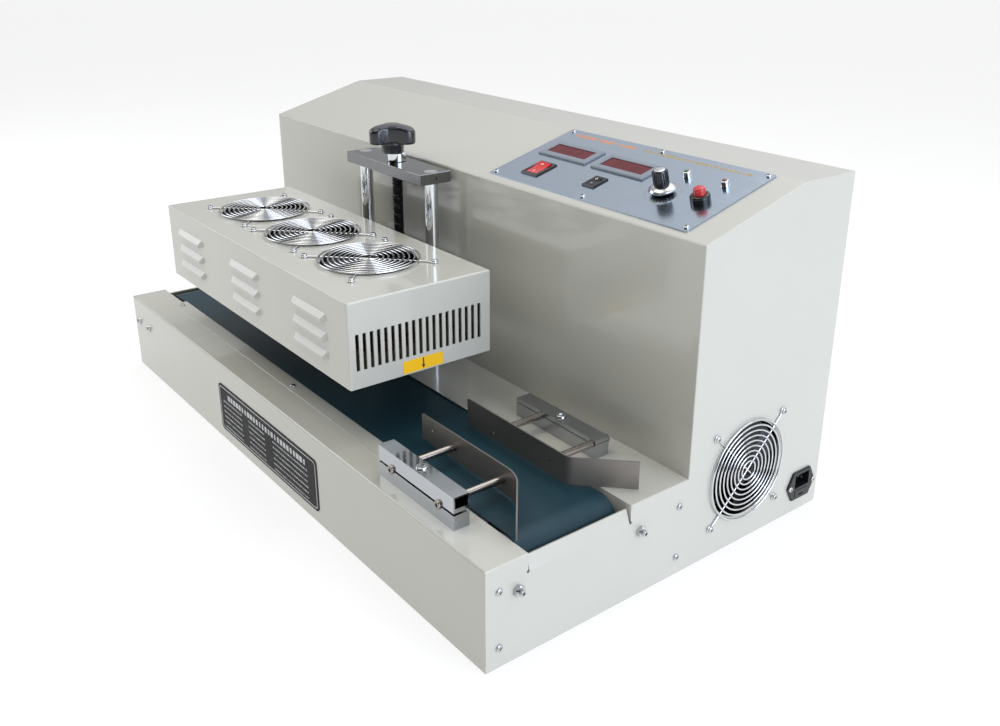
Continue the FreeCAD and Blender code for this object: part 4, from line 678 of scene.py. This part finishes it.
# The grey is the stainless steel's own; the blue cast in it is a painted reflection of a cool sky.
panel_steel_with_painted_blue_reflection = brushed("brushed_stainless_panel", "#BCC8D6", "#ADB9C7", 0.18, 0, 1.0, 0.04)
orange_print = moulded("orange_screen_print", "#D08A5C", "#C47D4E", 0.5, 0.8, 0.05)
ochre_print = moulded("ochre_screen_print", "#A8945C", "#998650", 0.5, 0.8, 0.05)
dress(panel_steel_with_painted_blue_reflection, "control_panel")
SLOPE = math.atan2(39.5, 142.0)
PANEL_T = 1.5
panel_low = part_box("control_panel")[0]
panel_foot = Vector((panel_low.x, panel_low.y + PANEL_T * MM * math.sin(SLOPE), panel_low.z))
PANEL = (Matrix.Translation(panel_foot) @ Matrix.Rotation(SLOPE, 4, "X")
         @ Matrix.Translation((0, 0, PANEL_T * MM)))


heading = [(18, 122.5, 5, 7.0, 6.5, 41), (58, 122.5, 4, 7.0, 6.5, 42), (92, 122.5, 4, 7.0, 6.5, 43)]
piece("panel_heading", dashes(heading, orange_print, PANEL), orange_print, "machine",
      smooth=False)
captions = [(132, 122.5, 24, 6.4, 4.5, 51)]
piece("panel_captions", dashes(captions, ochre_print, PANEL), ochre_print, "machine",
      smooth=False)


# Displays: grey bezels round dark red filters, each over three seven-segment figures that are off
# and show only as duller bars.

dress(moulded("grey_abs_bezel", "#777F88", "#808891", 0.42, 0.9), "display_bezels")
filter_red = moulded("red_filter_window", "#5A1019", "#64141F", 0.2, 3.0, 0.02, {"Specular IOR Level": 0.2})
dress(filter_red, "display_windows")
unlit = moulded("unlit_segments", "#43141A", "#4B181F", 0.3, 1.0, 0.02, {"Specular IOR Level": 0.2})
WINDOWS = ((23.0 + 32.5, 81.0), (114.5 + 32.5, 80.0))
SEGMENTS = ((0, 5, 3.6, 0.9), (0, 0, 3.6, 0.9), (0, -5, 3.6, 0.9), (-2.6, 2.5, 0.9, 3.8),
            (2.6, 2.5, 0.9, 3.8), (-2.6, -2.5, 0.9, 3.8), (2.6, -2.5, 0.9, 3.8))
GLASS_TOP = 1.7
figures = []
for window_x, window_s in WINDOWS:
    for digit in (-1, 0, 1):
        for seg_x, seg_s, seg_w, seg_h in SEGMENTS:
            x, up_slope = window_x + 13 * digit + seg_x, window_s + seg_s
            figures.append(bar((x - seg_w / 2, x + seg_w / 2), (up_slope - seg_h / 2, up_slope + seg_h / 2),
                               (GLASS_TOP, GLASS_TOP + 0.05)))
piece("display_figures", join(figures), unlit, "machine", PANEL, smooth=False)


# Rocker switches: glossy black frames; the power rocker is red polycarbonate that a lamp can light,
# the mode rocker black. Each cap is dished along its length and carries the line and ring marks.

gloss_black = moulded("gloss_black_nylon", "#121314", "#1A1B1C", 0.22, 1.0, 0.05)
lit_red = moulded("red_polycarbonate", "#DE121C", "#C90D17", 0.14, 2.0, 0.03,
                  {"Coat Weight": 0.6, "Coat Roughness": 0.05, "Transmission Weight": 0.15})
white_print = moulded("white_pad_print", "#E8E8E6", "#DADAD8", 0.5, 1.0, 0.05)
dress(gloss_black, "switch_frames")
PIVOT, TILT, MARK_Z = -2.0, math.radians(8), (4.62, 4.80)
for node, body, width, length, pivot, finish, slot in (
        ("power_rocker", "power_switch", 18.8, 22.5, 33.0, lit_red, "rocker_red"),
        ("mode_rocker", "mode_switch", 9.8, 13.5, 37.0, gloss_black, "switch_black")):
    rocker_low, rocker_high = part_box(node)
    x = (PANEL.inverted() @ ((rocker_low + rocker_high) / 2)).x / MM
    profile = [(-length / 2, -5.0)]
    for step in range(13):
        share = step / 6 - 1
        profile.append((length / 2 * share, 4.0 + 1.2 * share * share))
    profile.append((length / 2, -5.0))
    cap = skin([[(side * width / 2 * MM, u * MM, h * MM) for u, h in profile] for side in (-1, 1)])
    tilted = PANEL @ Matrix.Translation((x * MM, pivot * MM, PIVOT * MM)) @ Matrix.Rotation(TILT, 4, "X")
    piece(node + "_cap", cap, finish, body, tilted, (node,), bevel=0.5)
    mark = [bar((-0.35, 0.35), (-length * 0.38, -length * 0.22), MARK_Z)]
    turns = [2 * math.pi * i / 24 for i in range(24)]
    ring = bmesh.new()
    corners = [[ring.verts.new((r * MM * math.cos(t), (length * 0.3 + r * math.sin(t)) * MM, h * MM))
                for t in turns]
               for r, h in ((1.0, MARK_Z[0]), (1.0, MARK_Z[1]), (1.6, MARK_Z[1]), (1.6, MARK_Z[0]))]
    for low, high in zip(corners, corners[1:] + corners[:1]):
        for i in range(24):
            ring.faces.new((low[i], low[(i + 1) % 24], high[(i + 1) % 24], high[i]))
    piece(node + "_marks", join(mark + [ring]), white_print, body, tilted, smooth=False)


# Time dial: black skirt with a spun aluminium disc and a ring of engraved ticks, a fluted black grip
# and a light cap, drawn without its pointer line. The flutes are ribs set evenly round the grip.

def ring_tree():
    """Bars set evenly round a circle, each pointing outwards."""
    tree, given, end = new_tree("bars_round_a_circle", {
        "Count": "NodeSocketInt", "Radius": "NodeSocketFloat", "Size": "NodeSocketVector",
        "Material": "NodeSocketMaterial"})
    circle = add(tree, "GeometryNodeMeshCircle", {"Vertices": given["Count"], "Radius": given["Radius"]})
    rib = add(tree, "GeometryNodeMeshCube", {"Size": given["Size"]})
    number = add(tree, "GeometryNodeInputIndex")
    share = add(tree, "ShaderNodeMath", {0: number.outputs[0], 1: given["Count"]}, operation="DIVIDE")
    turn = add(tree, "ShaderNodeMath", {0: share.outputs[0], 1: 2 * math.pi}, operation="MULTIPLY")
    facing = add(tree, "ShaderNodeCombineXYZ", {2: turn.outputs[0]})
    bars = add(tree, "GeometryNodeInstanceOnPoints",
               {"Points": circle.outputs[0], "Instance": rib.outputs[0], "Rotation": facing.outputs[0]})
    return end(bars.outputs[0])


round_bars = ring_tree()
spun_aluminium = brushed("spun_aluminium_disc", "#E2E4E6", "#CDD0D3", 0.2, 2, 1.0)
knob_place = PANEL @ Matrix.Translation((228 * MM, 52 * MM, 0))
SKIRT_R, SKIRT_Z, GRIP_TOP = 14.3, (0.8, 8.6), 26.0
skirt = turned([(9.0, SKIRT_Z[0]), (11.5, SKIRT_Z[0] + 0.5), (12.5, SKIRT_Z[0] + 3.0)], 64)
grip = turned([(7.9, SKIRT_Z[1] - 1.0), (7.9, SKIRT_Z[1] + 1), (7.3, GRIP_TOP - 1.6), (6.5, GRIP_TOP - 0.4)],
              64)
piece("dial_skirt_and_grip", join([skirt, grip]), bakelite, "power_dial", knob_place,
      ("pot_knob",))
disc = turned([(12.0, SKIRT_Z[0] + 3.0), (SKIRT_R - 0.3, SKIRT_Z[0] + 3.2), (SKIRT_R, SKIRT_Z[0] + 4.0),
               (SKIRT_R - 0.6, SKIRT_Z[0] + 5.2), (9.4, SKIRT_Z[1] - 0.4), (8.4, SKIRT_Z[1] - 0.2)], 64)
piece("dial_disc", disc, spun_aluminium, "power_dial", knob_place)
ribs = grown("dial_ribs", round_bars,
             {"Count": 18, "Radius": 7.7 * MM, "Size": (1.3 * MM, 1.1 * MM, 14.0 * MM), "Material": bakelite},
             knob_place @ Matrix.Translation((0, 0, 17.0 * MM)))
piece("dial_ribs", ribs, bakelite, "power_dial", bevel=0.3)
ticks = grown("dial_ticks", round_bars,
              {"Count": 30, "Radius": 13.6 * MM, "Size": (0.5 * MM, 0.3 * MM, 0.8 * MM),
               "Material": black_print},
              knob_place @ Matrix.Translation((0, 0, (SKIRT_Z[0] + 5.0) * MM)))
piece("dial_ticks", ticks, black_print, "power_dial", smooth=False)
cap = turned([(5.8, GRIP_TOP - 0.8), (5.8, GRIP_TOP - 0.2), (5.2, GRIP_TOP)], 48)
piece("dial_cap", cap, spun_aluminium, "power_dial", knob_place)
scale_ticks = grown("panel_scale", round_bars, {"Count": 36, "Radius": 19.5 * MM,
                                                "Size": (2.2 * MM, 0.5 * MM, FILM), "Material": ochre_print},
                    knob_place @ Matrix.Translation((0, 0, FILM / 2)))
piece("panel_scale", scale_ticks, ochre_print, "machine", smooth=False)


# Start button: red cap in a black glossy collar, both with rounded rims from the mould.

dress(gloss_black, "button_collar")
button_red = moulded("red_moulded_cap", "#C41A22", "#B0141C", 0.2, 1.5, 0.04,
                     {"Coat Weight": 0.4, "Coat Roughness": 0.06})
button_place = PANEL @ Matrix.Translation((276.5 * MM, 55 * MM, 0))
button = turned([(6.2, -5.0), (6.2, 13.2), (5.9, 14.3), (5.1, 15.0), (3.6, 15.35), (1.5, 15.5)], 48)
piece("button_cap", button, button_red, "start_button", button_place, ("push_button",))


# Signal lamps: chromed bezels, each with an epoxy dome that carries the colour of its small chip; the chip
# itself is not drawn.

dress(bright_chrome, "lamp_holders")
for name, x, colour in (("green_lamp", 225.0, "#3E6E4A"), ("red_lamp", 276.0, "#7A2A2E")):
    lens = moulded(name + "_epoxy", colour, colour, 0.08, 3.0, 0.01,
                   {"Transmission Weight": 0.3, "Coat Weight": 0.5})
    dome = [(2.5, -4.0), (2.5, 5.6)]
    dome += [(2.5 * math.cos(math.radians(a)), 5.6 + 2.4 * math.sin(math.radians(a)))
             for a in range(10, 90, 12)]
    piece(name, turned(dome, 32), lens, "machine",
          PANEL @ Matrix.Translation((x * MM, 92 * MM, 0)))
